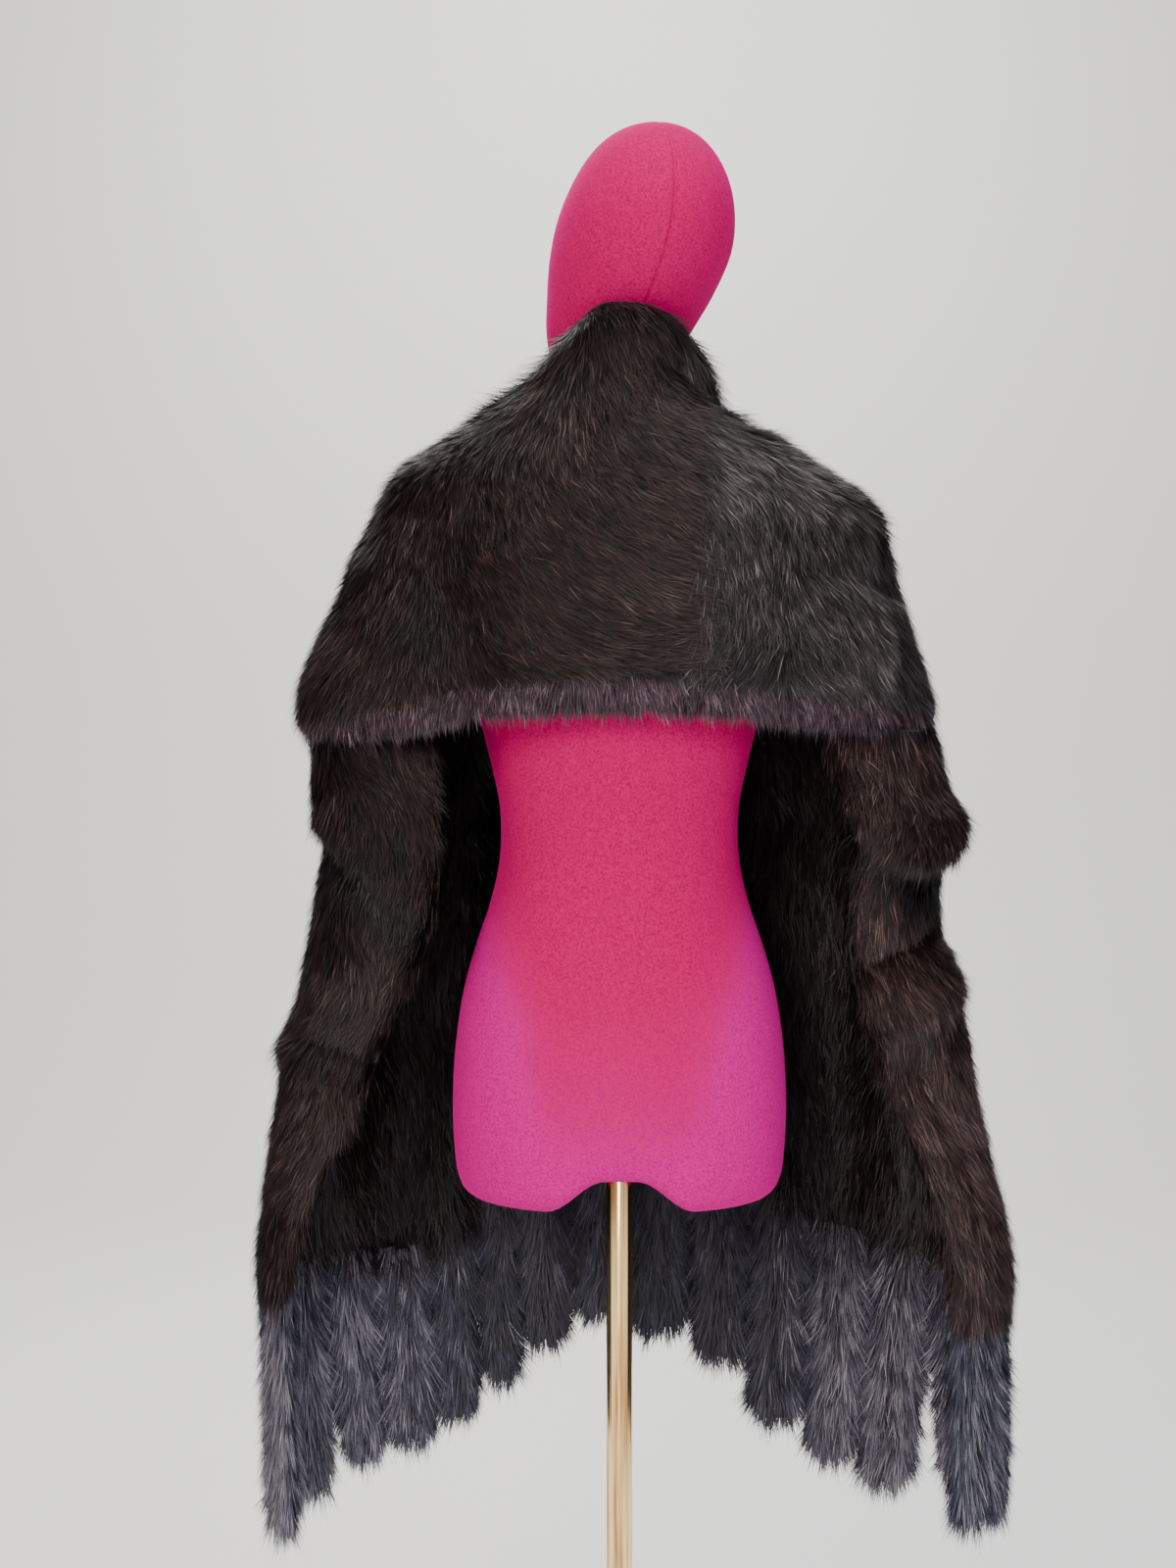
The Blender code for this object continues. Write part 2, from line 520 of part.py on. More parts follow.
def build_fringe(side, name, tails, material):
    """The fringe of one side: a strip below the hem, with a four-sided tail hanging from each of its
    stretches. The strip and the tails are one closed mesh."""
    middle, normal = fringe_columns(side, tails)
    half = normal * PILE_WALL / 2 * 0.9
    top = middle - np.array([0, 0, STRIP_GAP])
    low = (top - np.array([0, 0, FRINGE_STRIP]))[:, ::2]
    points = [*(top + half).reshape(-1, 3), *(top - half).reshape(-1, 3),
              *(low + half[:, ::2]).reshape(-1, 3), *(low - half[:, ::2]).reshape(-1, 3)]
    count = len(tails)
    top_out = np.arange(3 * count)
    top_in = top_out + 3 * count
    low_out = np.arange(2 * count) + 6 * count
    low_in = low_out + 2 * count
    faces = [(top_out[0], top_in[0], low_in[0], low_out[0]),
             (top_out[-1], low_out[-1], low_in[-1], top_in[-1])]
    for k in range(3 * count - 1):
        faces.append((top_out[k], top_out[k + 1], top_in[k + 1], top_in[k]))
    for i in range(count):
        a, b, c = 3 * i, 3 * i + 1, 3 * i + 2
        first, last = 2 * i, 2 * i + 1
        faces.append((top_out[a], low_out[first], low_out[last], top_out[c], top_out[b]))
        faces.append((top_in[a], top_in[b], top_in[c], low_in[last], low_in[first]))
        if i < count - 1:
            faces.append((top_out[c], low_out[last], low_out[last + 1], top_out[c + 1]))
            faces.append((top_in[c], top_in[c + 1], low_in[last + 1], low_in[last]))
            faces.append((low_out[last], low_in[last], low_in[last + 1], low_out[last + 1]))
    for i, tail in enumerate(tails):
        first, last = low[i]
        level = (last - first) * (1, 1, 0)
        out = normal[i, 0] + normal[i, 2]
        out = out / np.linalg.norm(out)
        above = [low_out[2 * i], low_out[2 * i + 1], low_in[2 * i + 1], low_in[2 * i]]
        for down, wide, deep in TAIL_RINGS:
            at = (first + last) / 2 - np.array([0, 0, down * (tail.length - FRINGE_STRIP)])
            at = at + level / np.linalg.norm(level) * tail.swing * down**1.5 + out * tail.out * down**1.3
            across = level / 2 * wide * (1 - (1 - tail.width) * min(1, down * 3))
            through_it = out * PILE_WALL / 2 * deep
            ring = list(range(len(points), len(points) + 4))
            points += [at - across + through_it, at + across + through_it,
                       at + across - through_it, at - across - through_it]
            faces += [(above[k], ring[k], ring[(k + 1) % 4], above[(k + 1) % 4]) for k in range(4)]
            above = ring
        faces.append(tuple(above))
    add_mesh(f"fringe_{name}", points, [tuple(int(v) for v in face) for face in faces], material)


# ---------------------------------------------------------------- the dress form and its stand
def notch(x):
    """Height of the groove between the lobes: flat over the pole, then a smooth fall to either side."""
    fall = (np.abs(x) - NOTCH_FLAT) / (NOTCH_REACH - NOTCH_FLAT)
    return NOTCH_HEIGHT * np.cos(np.clip(fall, 0, 1) * math.pi / 2) ** 2


def loft(rings, cap_points):
    """Faces that join rings of the same count, closed by a fan to a point below and a point above."""
    count = len(rings[0])
    points = np.concatenate(rings + [np.array(cap_points)])
    low = len(points) - 2
    high = len(points) - 1
    faces = []
    for i in range(len(rings) - 1):
        for j in range(count):
            k = (j + 1) % count
            faces.append((i * count + j, i * count + k, (i + 1) * count + k, (i + 1) * count + j))
    top = (len(rings) - 1) * count
    for j in range(count):
        k = (j + 1) % count
        faces.append((low, k, j))
        faces.append((high, top + j, top + k))
    return points, faces


def build_torso(material):
    """The torso from its two lobes up to the neck, with the groove across its underside."""
    turn = np.linspace(0, 2 * math.pi, TORSO_SIDES, endpoint=False)
    power = 2 / 2.15
    rings = []
    lowest = TORSO[0]
    under = [(NOTCH_FLAT * 0.98, True)] + [(share, False) for share in BASE_CAP_RINGS[::-1]]
    for share, is_round in under:
        if is_round:
            x, y = share * np.sin(turn), share * np.cos(turn)
        else:
            depth = np.where(np.cos(turn) > 0, lowest.back, lowest.front)
            x = share * lowest.half * signed_power(np.sin(turn), power)
            y = share * depth * signed_power(np.cos(turn), power)
        rings.append(np.stack([x, y, FORM_BOTTOM + notch(x)], axis=1))
    for row in TORSO:
        depth = np.where(np.cos(turn) > 0, row.back, row.front)
        x = row.half * signed_power(np.sin(turn), power)
        y = depth * signed_power(np.cos(turn), power)
        lift = notch(x) * np.clip((FORM_BOTTOM + NOTCH_FADE - row.z) / NOTCH_FADE, 0, 1)
        rings.append(np.stack([x, y, row.z + lift], axis=1))
    caps = [(0, 0, FORM_BOTTOM + NOTCH_HEIGHT), (0, -0.005, TORSO[-1].z)]
    points, faces = loft(rings, caps)
    add_mesh("form_torso", points, faces, material)


def build_head(material):
    """The plain egg-shaped head and its neck, standing on the torso's neck."""
    turn = np.linspace(0, 2 * math.pi, HEAD_SIDES, endpoint=False)
    rings = []
    for row in HEAD:
        across = row.across * np.sin(turn)
        along = row.along * np.cos(turn)
        x = row.x + across * math.cos(HEAD_TURN) - along * math.sin(HEAD_TURN)
        y = row.y + across * math.sin(HEAD_TURN) + along * math.cos(HEAD_TURN)
        rings.append(np.stack([x, y, np.full_like(x, row.z)], axis=1))
    rings[0][:, 2] = TORSO[-1].z + SEAM_GAP
    caps = [(0, -0.006, TORSO[-1].z + SEAM_GAP), (HEAD[-1].x, HEAD[-1].y, HEAD_TOP)]
    points, faces = loft(rings, caps)
    add_mesh("form_head", points, faces, material)


def turned_profile(name, profile, material):
    """A solid turned about the Z axis from its radius and height pairs, closed at both ends."""
    turn = np.linspace(0, 2 * math.pi, ROUND_SIDES, endpoint=False)
    rings = [np.stack([r * np.cos(turn), r * np.sin(turn), np.full_like(turn, z)], axis=1) for r, z in profile]
    points, faces = loft(rings, [(0, 0, profile[0][1]), (0, 0, profile[-1][1])])
    return add_mesh(name, points, faces, material)


def build_stand(material):
    """The round base with its socket, and the pole from the socket up to the form."""
    bore = POLE_RADIUS + SEAM_GAP
    socket = BASE_PROFILE + ((bore, BASE_PROFILE[-1][1]), (bore, SOCKET_BOTTOM))
    turned_profile("stand_base", socket, material)
    top = FORM_BOTTOM + NOTCH_HEIGHT - SEAM_GAP
    foot = SOCKET_BOTTOM + SEAM_GAP
    pole = ((POLE_RADIUS - 0.001, foot), (POLE_RADIUS, foot + 0.001), (POLE_RADIUS, top - 0.0008),
            (POLE_RADIUS - 0.0008, top))
    turned_profile("stand_pole", pole, material)


def main():
    clear_scene()
    fur = make_material("dark_faux_fur", (0.030, 0.020, 0.021), 0.75)
    velvet = make_material("magenta_velvet", (0.62, 0.004, 0.14), 0.85)
    brass = make_material("polished_gold_plate", (0.80, 0.55, 0.24), 0.18, 1.0)
    build_torso(velvet)
    build_head(velvet)
    build_stand(brass)
    build_back(fur)
    for side, name, tails in ((1, "left", LEFT_TAILS), (-1, "right", RIGHT_TAILS)):
        build_front(side, name, tails, fur)
        build_turned_side(side, name, fur)
        build_fringe(side, name, tails, fur)


main()
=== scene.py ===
"""Looks of a dark faux fur cape with a fringe of tails, worn by a limbless velvet dress form on a pole stand.

Each cloth of the cape is a thin skin in the middle of the wall that the frame's solids fill, and a pile of
single tapered hairs rooted on both its faces. The form and its stand are turned and lofted surfaces.
"""

from __future__ import annotations

import json
import logging
import math
from dataclasses import dataclass
from enum import Enum
from typing import Callable, NamedTuple, Sequence

import bpy
import numpy as np
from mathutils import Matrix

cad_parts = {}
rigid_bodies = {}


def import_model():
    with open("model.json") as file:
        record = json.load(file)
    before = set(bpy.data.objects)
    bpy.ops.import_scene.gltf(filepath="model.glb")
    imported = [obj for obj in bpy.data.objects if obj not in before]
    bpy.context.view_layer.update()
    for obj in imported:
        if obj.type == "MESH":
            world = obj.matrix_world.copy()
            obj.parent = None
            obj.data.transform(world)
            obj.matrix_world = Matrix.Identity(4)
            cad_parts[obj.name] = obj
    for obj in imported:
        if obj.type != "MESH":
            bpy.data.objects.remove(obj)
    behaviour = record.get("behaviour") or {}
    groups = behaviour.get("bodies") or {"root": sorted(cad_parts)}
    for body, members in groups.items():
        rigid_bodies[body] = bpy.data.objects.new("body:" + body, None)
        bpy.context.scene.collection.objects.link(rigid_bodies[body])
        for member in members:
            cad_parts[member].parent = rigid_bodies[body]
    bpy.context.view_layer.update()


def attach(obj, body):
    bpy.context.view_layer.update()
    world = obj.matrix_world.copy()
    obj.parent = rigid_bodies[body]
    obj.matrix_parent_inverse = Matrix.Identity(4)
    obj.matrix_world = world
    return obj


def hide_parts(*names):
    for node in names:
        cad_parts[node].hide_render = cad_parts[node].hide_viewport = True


LOG = logging.getLogger("fur_cape")
Array = np.ndarray
Material = bpy.types.Material
Object = bpy.types.Object
Socket = bpy.types.NodeSocket
Curve = Callable[[Array], Array]  # a height by angle, or an angle by height
Spot = Callable[[Array, Array], tuple[Array, Array]]  # angle and height by shares across and up

# ---------- sizes, in metres
PILE_WALL = 0.028  # the pile on both faces with the cloth between them
SKIN = 0.003  # the cloth that the pile grows from
SIDE = math.pi / 2  # angle of the wearer's left side, counted from behind
HEM_BAND = 0.033
TURN_DROP = 0.0025  # the turned-back sides start this far under the back's edge
SEAM_LAP = 0.0004  # sewn edges of two skins lap by this much each
BACK_SEAM_X = -0.0725
SEAM_LEAN_FROM = 1.49  # above this height the back's seam leans in
FRONT_OPENING = math.radians(198)  # where the left front ends, past the middle
RING_BACK, RING_FRONT = 2.2, 2.4  # powers of the cape's superellipses
RIM = 0.014  # near a free edge the pile turns outwards over this width
RIM_TURN = math.radians(72)
EDGE_INSET = 0.008  # the skin stops this far short of a free edge
TAIL_DEPTH = 0.0035  # half the depth of a tail's skin
FORM_BOTTOM = 0.719
NOTCH_HEIGHT = 0.030  # the groove under the form
NOTCH_FLAT = 0.0145  # half the width of its level part
NOTCH_REACH = 0.070  # half its whole width
NOTCH_FADE = 0.060  # the walls follow it up to here
TORSO_POWER = 2 / 2.15
HEAD_TURN = math.radians(28)


class Section(NamedTuple):
    """How far the cape reaches to each side at a height."""

    z: float
    left: float
    right: float
    back: float
    front: float


class Turn(NamedTuple):
    """Free edge and depth of the turned-back sides at a height."""

    z: float
    left_edge: float
    right_edge: float
    left_depth: float
    right_depth: float


class Edge(NamedTuple):
    """Height of an edge at an angle round the body, in degrees: 0 behind, 90 at the wearer's left."""

    angle: float
    z: float


class Fold(NamedTuple):
    """A soft fold along a line seen from behind: its height, and how fast it fades above and below."""

    x0: float
    z0: float
    x1: float
    z1: float
    height: float
    above: float
    below: float


class TailSize(NamedTuple):
    """A tail's length, its width as a share of its root, and how far its tip swings and stands out."""

    length: float
    width: float
    swing: float
    out: float


class Cut(NamedTuple):
    """A cloth's mean lengths across and up, the width and length of its cut, and the cut's area."""

    size: tuple[float, float]
    flat: tuple[float, float]
    area: float


class Ring(NamedTuple):
    """Half width of the torso at a height, and its reach behind and in front."""

    z: float
    half: float
    back: float
    front: float


class HeadRing(NamedTuple):
    """Centre of the head at a height, and its half sizes across and along it."""

    z: float
    x: float
    y: float
    across: float
    along: float


class CombMark(NamedTuple):
    """The way the nap lies near a place seen from behind: degrees from straight down to the wearer's left."""

    x: float
    z: float
    degrees: float


class ShadeMark(NamedTuple):
    """A place seen from behind where the pile's tone is painted paler or darker, and how far that reaches: painted
    light, painted shade, and the dark line down the back's seam.
    """

    x: float
    z: float
    size: float
    tone: float


def table(kind: type, per: Sequence[int], *rows: tuple[int, ...]) -> tuple:
    """Rows of a kind from whole numbers, each divided by how many of them make its column's unit."""
    return tuple(kind(*(value / unit for value, unit in zip(row, per))) for row in rows)


# ---------- tables of the shapes and of the nap
MM = (1000,) * 7  # also thousandths of a share or of a tone
TENTHS = (10000,) * 5  # of a millimetre
ANGLES = (1, 1000)  # degrees, millimetres
CENTIMETRES = (100, 100, 1)  # and degrees

CAPE = table(Section, MM,
    (1600, 66, 88, 99, 70), (1555, 73, 95, 100, 78), (1522, 93, 104, 99, 85), (1498, 114, 110, 99, 91),
    (1479, 138, 120, 101, 96), (1460, 164, 149, 103, 101), (1427, 213, 200, 108, 111), (1403, 232, 236, 111, 118),
    (1384, 241, 254, 114, 125), (1356, 254, 266, 117, 136), (1308, 273, 279, 121, 153), (1261, 296, 292, 123, 163),
    (1213, 314, 306, 125, 167), (1185, 316, 311, 126, 169), (1150, 306, 317, 127, 170), (1118, 294, 323, 127, 171),
    (1090, 292, 329, 127, 172), (1060, 293, 323, 127, 173), (1020, 299, 317, 127, 175), (960, 309, 324, 127, 177),
    (920, 317, 334, 127, 179), (880, 332, 342, 127, 181), (833, 336, 350, 127, 183), (738, 349, 371, 127, 187),
    (655, 357, 386, 127, 190), (600, 352, 384, 127, 190))
TURNS = table(Turn, MM,
    (1200, 155, 170, 70, 72), (1125, 155, 185, 74, 76), (1090, 155, 202, 75, 80), (995, 156, 202, 74, 80),
    (928, 181, 206, 72, 78), (880, 205, 220, 70, 76), (833, 225, 238, 68, 75), (786, 249, 259, 66, 74),
    (738, 275, 276, 64, 72), (690, 300, 292, 62, 70), (600, 316, 306, 60, 68))
NECK_EDGE = table(Edge, ANGLES,
    (-180, 1300), (-165, 1325), (-150, 1360), (-130, 1410), (-110, 1455), (-90, 1488), (-70, 1517), (-50, 1543),
    (-30, 1564), (0, 1573), (25, 1569), (50, 1549), (70, 1519), (90, 1492), (110, 1457), (130, 1410), (150, 1360),
    (165, 1325), (180, 1300))
BACK_EDGE = table(Edge, ANGLES,
    (-90, 1186), (-75, 1176), (-50, 1173), (-30, 1180), (-10, 1189), (10, 1189), (25, 1185), (35, 1174), (50, 1165),
    (70, 1160), (90, 1166))
LEFT_HEM = table(Edge, ANGLES,
    (30, 638), (60, 638), (90, 638), (104, 638), (120, 632), (137, 629), (150, 635), (157, 657), (163, 692),
    (170, 735), (180, 752), (190, 750), (200, 742))
RIGHT_HEM = table(Edge, ANGLES,
    (-165, 712), (-157, 676), (-150, 655), (-137, 640), (-120, 629), (-104, 619), (-90, 619), (-60, 619), (-30, 619))
BACK_FOLDS = table(Fold, MM,
    (-62, 1513, -120, 1480, -13, 11, 13), (-262, 1345, -280, 1190, -14, 16, 16),
    (-190, 1328, -265, 1316, -6, 18, 14), (-150, 1240, -245, 1262, 6, 30, 30), (185, 1385, 150, 1200, -6, 30, 30),
    (240, 1330, 265, 1215, 6, 30, 35))
LEFT_TURN_FOLDS = table(Fold, MM,
    (300, 1104, 160, 984, 16, 50, 11), (176, 975, 300, 740, 7, 22, 30), (345, 902, 235, 868, -8, 18, 18))
RIGHT_TURN_FOLDS = table(Fold, MM,
    (-168, 1140, -270, 1058, 17, 45, 11), (-270, 1058, -340, 1068, 17, 40, 11), (-250, 962, -335, 992, -12, 15, 13),
    (-235, 890, -335, 945, 9, 20, 22), (-280, 860, -350, 760, -8, 22, 20))
FRONT_FOLDS = table(Fold, MM,
    (95, 1300, 120, 690, 12, 34, 30), (150, 1190, 182, 650, -11, 24, 26), (210, 1270, 245, 660, 11, 30, 30),
    (48, 1120, 50, 760, -8, 22, 20), (262, 1120, 300, 720, -8, 22, 22), (-85, 1290, -100, 720, 11, 32, 34),
    (-150, 1230, -165, 690, -12, 26, 24), (-215, 1250, -240, 650, 12, 32, 30), (-275, 1080, -300, 700, -9, 22, 24))
LEFT_TAILS = table(TailSize, MM,
    (240, 1000, -36, 12), (244, 920, 12, -18), (246, 840, 15, -6), (220, 820, 24, 2), (211, 840, 14, 4),
    (210, 880, 6, 6), (216, 880, 4, 4), (214, 920, -3, 6), (203, 920, 3, 4), (222, 950, 0, 6), (247, 920, 4, 4))
RIGHT_TAILS = table(TailSize, MM,
    (214, 1000, -12, 10), (230, 900, -8, -2), (236, 800, -14, 2), (258, 900, 26, 6), (252, 800, 10, 6),
    (242, 900, 4, 6))
TORSO = table(Ring, TENTHS,
    (7230, 1420, 980, 780), (7290, 1495, 1050, 850), (7430, 1560, 1100, 890), (7660, 1592, 1150, 920),
    (7980, 1610, 1190, 950), (8330, 1606, 1210, 960), (8805, 1568, 1180, 960), (9280, 1487, 1070, 920),
    (9660, 1378, 960, 880), (10040, 1250, 860, 830), (10420, 1164, 800, 800), (10705, 1145, 780, 800),
    (10990, 1160, 790, 830), (11370, 1240, 820, 930), (11750, 1335, 860, 1060), (12200, 1440, 890, 1190),
    (12650, 1530, 900, 1240), (13100, 1640, 890, 1130), (13500, 1790, 870, 980), (13780, 1870, 857, 880),
    (13960, 1860, 800, 800), (14105, 1720, 760, 750), (14245, 1480, 720, 700), (14382, 1175, 670, 670),
    (14530, 880, 610, 640), (14700, 670, 540, 600), (14950, 550, 470, 580))
HEAD = table(HeadRing, TENTHS,
    (14951, 0, -60, 530, 530), (15180, 40, -140, 545, 600), (15380, 50, -220, 600, 700), (15600, 0, -220, 680, 820),
    (15930, -105, -120, 765, 970), (16310, -200, -10, 825, 1055), (16600, -240, 60, 805, 1035),
    (16870, -270, 100, 740, 940), (17090, -285, 120, 645, 810), (17270, -295, 120, 530, 650),
    (17400, -300, 120, 390, 470), (17475, -302, 120, 240, 285), (17507, -302, 120, 0, 0))
BACK_LEFT_COMB = table(CombMark, CENTIMETRES,
    (20, 140, 20), (6, 150, 24), (-3, 153, 14), (24, 130, 16), (12, 140, 34), (2, 142, 42), (-5, 144, 34),
    (-5, 136, 50), (-5, 130, 66), (4, 130, 62), (12, 130, 48), (18, 126, 16), (27, 124, 6), (-4, 125, 80),
    (4, 125, 76), (11, 124, 58), (22, 121, -4))
BACK_RIGHT_COMB = table(CombMark, CENTIMETRES,
    (-9, 152, 4), (-9, 142, 2), (-9, 133, -4), (-10, 127, -24), (-13, 124, -38), (-15, 145, -10), (-22, 140, -22),
    (-20, 133, -6), (-24, 126, 6), (-17, 123, 20), (-28, 130, -8))
BAND_COMB = table(CombMark, CENTIMETRES, (25, 120, 8), (5, 120, 5), (-6, 120, 4), (-9, 120, -4), (-25, 120, -12))
FRONT_COMB = table(CombMark, CENTIMETRES, (25, 120, 0), (0, 110, 0), (-25, 120, 0), (20, 80, -12), (-20, 80, 12))
SIDE_LEFT_COMB = table(CombMark, CENTIMETRES,
    (28, 113, 16), (20, 110, 8), (17, 100, -6), (28, 100, 14), (22, 90, -10), (31, 85, 8), (27, 76, -14),
    (34, 70, 12))
SIDE_RIGHT_COMB = table(CombMark, CENTIMETRES,
    (-22, 115, -10), (-28, 112, -22), (-24, 104, -6), (-30, 98, -18), (-24, 92, 4), (-33, 88, -10), (-28, 80, 8),
    (-36, 72, -12))
# Shade marks paint light and shade into the pile's tone: pale marks are painted light, dark ones painted shade in
# folds, creases and under ledges; the row down the back's seam darkens its parting.
BACK_LEFT_SHADES = (
    *table(ShadeMark, MM, (200, 1200, 30, 100), (170, 1270, 35, -120), (200, 1420, 50, 60), (30, 1460, 50, 80),
           (150, 1350, 45, -50), (-50, 1330, 30, -60)),
    *(ShadeMark(BACK_SEAM_X + 0.003, z, 0.009, -0.36) for z in np.arange(1.24, 1.49, 0.014)),  # down the seam
)
BACK_RIGHT_SHADES = (
    *table(ShadeMark, MM, (-85, 1495, 20, -300), (-170, 1430, 50, 120), (-130, 1250, 35, -140),
           (-250, 1250, 40, 140), (-190, 1320, 30, -80)),
    *(ShadeMark(-0.262 - (1.345 - z) * 0.12, z, 0.012, -0.26) for z in np.arange(1.21, 1.36, 0.012)),  # painted shade in the fold
    *table(ShadeMark, MM, (-300, 1260, 20, -120), (-300, 1220, 20, -120)),
)
SIDE_LEFT_SHADES = (
    *table(ShadeMark, MM, (260, 1000, 40, -140), (200, 960, 25, 120), (240, 1140, 30, -80), (300, 700, 35, 100)),
    *(ShadeMark(x, 0.962 + (x - 0.155) * 0.84, 0.018, -0.28) for x in np.arange(0.155, 0.31, 0.014)),  # painted shade in the fold
)
SIDE_RIGHT_SHADES = (
    *table(ShadeMark, MM, (-300, 1045, 30, -140), (-240, 980, 30, 100), (-210, 1140, 30, -80), (-330, 800, 90, 120)),
    # painted shade under the ledges of the fold
    *(ShadeMark(x, 1.112 + (x + 0.175) * 0.78, 0.017, -0.26) for x in np.arange(-0.27, -0.17, 0.014)),
    *(ShadeMark(x, 1.032, 0.017, -0.26) for x in np.arange(-0.34, -0.27, 0.014)),
)
CUTS = {
    "back_left": Cut((0.33, 0.39), (0.42, 0.43), 0.114),
    "back_right": Cut((0.22, 0.37), (0.27, 0.39), 0.066),
    "hem_band_left": Cut((0.42, HEM_BAND), (0.42, HEM_BAND), 0.0138),
    "hem_band_right": Cut((0.27, HEM_BAND), (0.27, HEM_BAND), 0.0089),
    "front_left": Cut((0.54, 0.75), (0.62, 0.92), 0.353),
    "front_right": Cut((0.30, 0.80), (0.34, 0.95), 0.218),
    "side_left": Cut((0.13, 0.56), (0.184, 0.58), 0.073),
    "side_right": Cut((0.14, 0.585), (0.196, 0.60), 0.079),
}


# ---------- reading the tables
def through(rows: Sequence[NamedTuple], column: str, at: Array) -> Array:
    """Reads one column of a table at any place.

    The curve is a cubic through the rows whose slope at each row is that of its neighbours.

    Args:
        rows: The table, whose first column is the place.
        column: The column to read.
        at: The places.

    Returns:
        The column's values there, held level past both ends.
    """
    rows = sorted(rows, key=lambda row: row[0])
    places = np.array([row[0] for row in rows])
    values = np.array([getattr(row, column) for row in rows])
    at = np.clip(np.asarray(at, float), places[0], places[-1])
    slopes = np.gradient(values, places)
    k = np.clip(np.searchsorted(places, at, side="right") - 1, 0, len(rows) - 2)
    span = places[k + 1] - places[k]
    t = (at - places[k]) / span
    rise = values[k + 1] - values[k]
    start = slopes[k] * span
    end = slopes[k + 1] * span
    return values[k] + t * start + t**2 * (3 * rise - 2 * start - end) + t**3 * (start + end - 2 * rise)


def by_side(rows: Sequence[NamedTuple], ending: str, left: Array, z: Array) -> Array:
    """A table's left or right column at each height."""
    return np.where(left, through(rows, "left" + ending, z), through(rows, "right" + ending, z))


def edge_height(rows: Sequence[Edge], angle: Array) -> Array:
    """Height of an edge at angles in radians."""
    return through(rows, "z", np.degrees(angle))


def back_edge(angle: Array) -> Array:
    """Height of the back's lower edge."""
    return edge_height(BACK_EDGE, angle)


def band_top(angle: Array) -> Array:
    """Height of the seam over the band."""
    return back_edge(angle) + HEM_BAND


def neck_height(angle: Array) -> Array:
    """Height of the neck edge, also past the middle of the front."""
    return edge_height(NECK_EDGE, (angle + math.pi) % (2 * math.pi) - math.pi)


def hem_height(angle: Array) -> Array:
    """Height of the lower edge of the fronts and their turned-back sides."""
    return np.where(angle > 0, edge_height(LEFT_HEM, angle), edge_height(RIGHT_HEM, angle))


def signed_power(value: Array, power: float) -> Array:
    """The size of each value to a power, with the value's own sign."""
    return np.sign(value) * np.abs(value) ** power


def smooth_noise(points: Array, size: float, seed: int) -> Array:
    """A smooth random field from about -1 to 1: the mean of a few waves, none of them longer than size.

    Args:
        points: Places of shape (count, 3).
        size: Length of the longest wave.
        seed: Picks the field.

    Returns:
        One value for each place.
    """
    rng = np.random.default_rng(seed)
    waves = 14
    ways = rng.normal(size=(waves, 3))
    ways /= np.linalg.norm(ways, axis=1, keepdims=True)
    pace = 2 * math.pi / (size * rng.uniform(0.35, 1.0, waves))
    phase = rng.uniform(0, 2 * math.pi, waves)
    return np.sin(points @ (ways * pace[:, None]).T + phase).sum(axis=1) / math.sqrt(waves / 2) / 1.6


def unit(vectors: Array) -> Array:
    """The vectors at length one."""
    return vectors / np.maximum(np.linalg.norm(vectors, axis=-1, keepdims=True), 1e-9)


# ---------- the cape's surface
FOLD_END = 0.025  # how fast a fold fades past its ends
ANGLE_STEP, HEIGHT_STEP = 0.02, 0.004  # steps that find a surface's directions


def fold_height(folds: Sequence[Fold], x: Array, z: Array) -> Array:
    """Sum of the folds: each is a bell across its line that fades past both ends.

    Args:
        folds: The folds.
        x: Places across, seen from behind.
        z: Their heights.

    Returns:
        How far the surface stands out there.
    """
    total = np.zeros_like(x)
    for fold in folds:
        run = np.array([fold.x1 - fold.x0, fold.z1 - fold.z0])
        length = np.hypot(*run)
        run = run / length
        up = np.array([-run[1], run[0]]) * (1 if run[0] >= 0 else -1)
        along = (x - fold.x0) * run[0] + (z - fold.z0) * run[1]
        across = (x - fold.x0) * up[0] + (z - fold.z0) * up[1]
        fade = np.where(across > 0, fold.above, fold.below)
        past = np.maximum(0, np.maximum(-along, along - length)) / FOLD_END
        total += fold.height * np.exp(-((across / fade) ** 2) - past**2)
    return total


def cape_reach(angle: Array, z: Array, turned: bool) -> Array:
    """Outer reach of the cape: a superellipse at each height, and on a turned-back side a round bend.

    Args:
        angle: Angles round the body.
        z: Heights.
        turned: Whether the piece is a turned-back side.

    Returns:
        The places.
    """
    left = np.sin(angle) >= 0
    behind = np.cos(angle) >= 0
    half = by_side(CAPE, "", left, z)
    depth = by_side(TURNS, "_depth", left, z) if turned else through(CAPE, "back", z)
    depth = np.where(behind, depth, through(CAPE, "front", z))
    power = np.where(behind, 2 / RING_BACK, 2 / RING_FRONT)
    x = half * signed_power(np.sin(angle), power)
    y = depth * signed_power(np.cos(angle), power)
    if turned:
        into_bend = np.clip((np.abs(x) - (half - depth)) / depth, 0, 1)
        y = np.where(behind, depth * np.sqrt(1 - into_bend**2), y)
    return np.stack([x, y, z], axis=-1)


def outward(angle: Array, z: Array, turned: bool, surface: Callable[[Array, Array, bool], Array]) -> Array:
    """Outward direction of a surface, from small steps along it and up it.

    Args:
        angle: Angles round the body.
        z: Heights.
        turned: Whether the piece is a turned-back side.
        surface: The surface, by those three.

    Returns:
        Vectors of length one.
    """
    along = surface(angle + ANGLE_STEP, z, turned) - surface(angle - ANGLE_STEP, z, turned)
    up = surface(angle, z + HEIGHT_STEP, turned) - surface(angle, z - HEIGHT_STEP, turned)
    normal = np.cross(up, along)
    normal[..., 1] = np.where(np.abs(np.cos(angle)) < 1e-3, 0, normal[..., 1])
    return unit(normal)


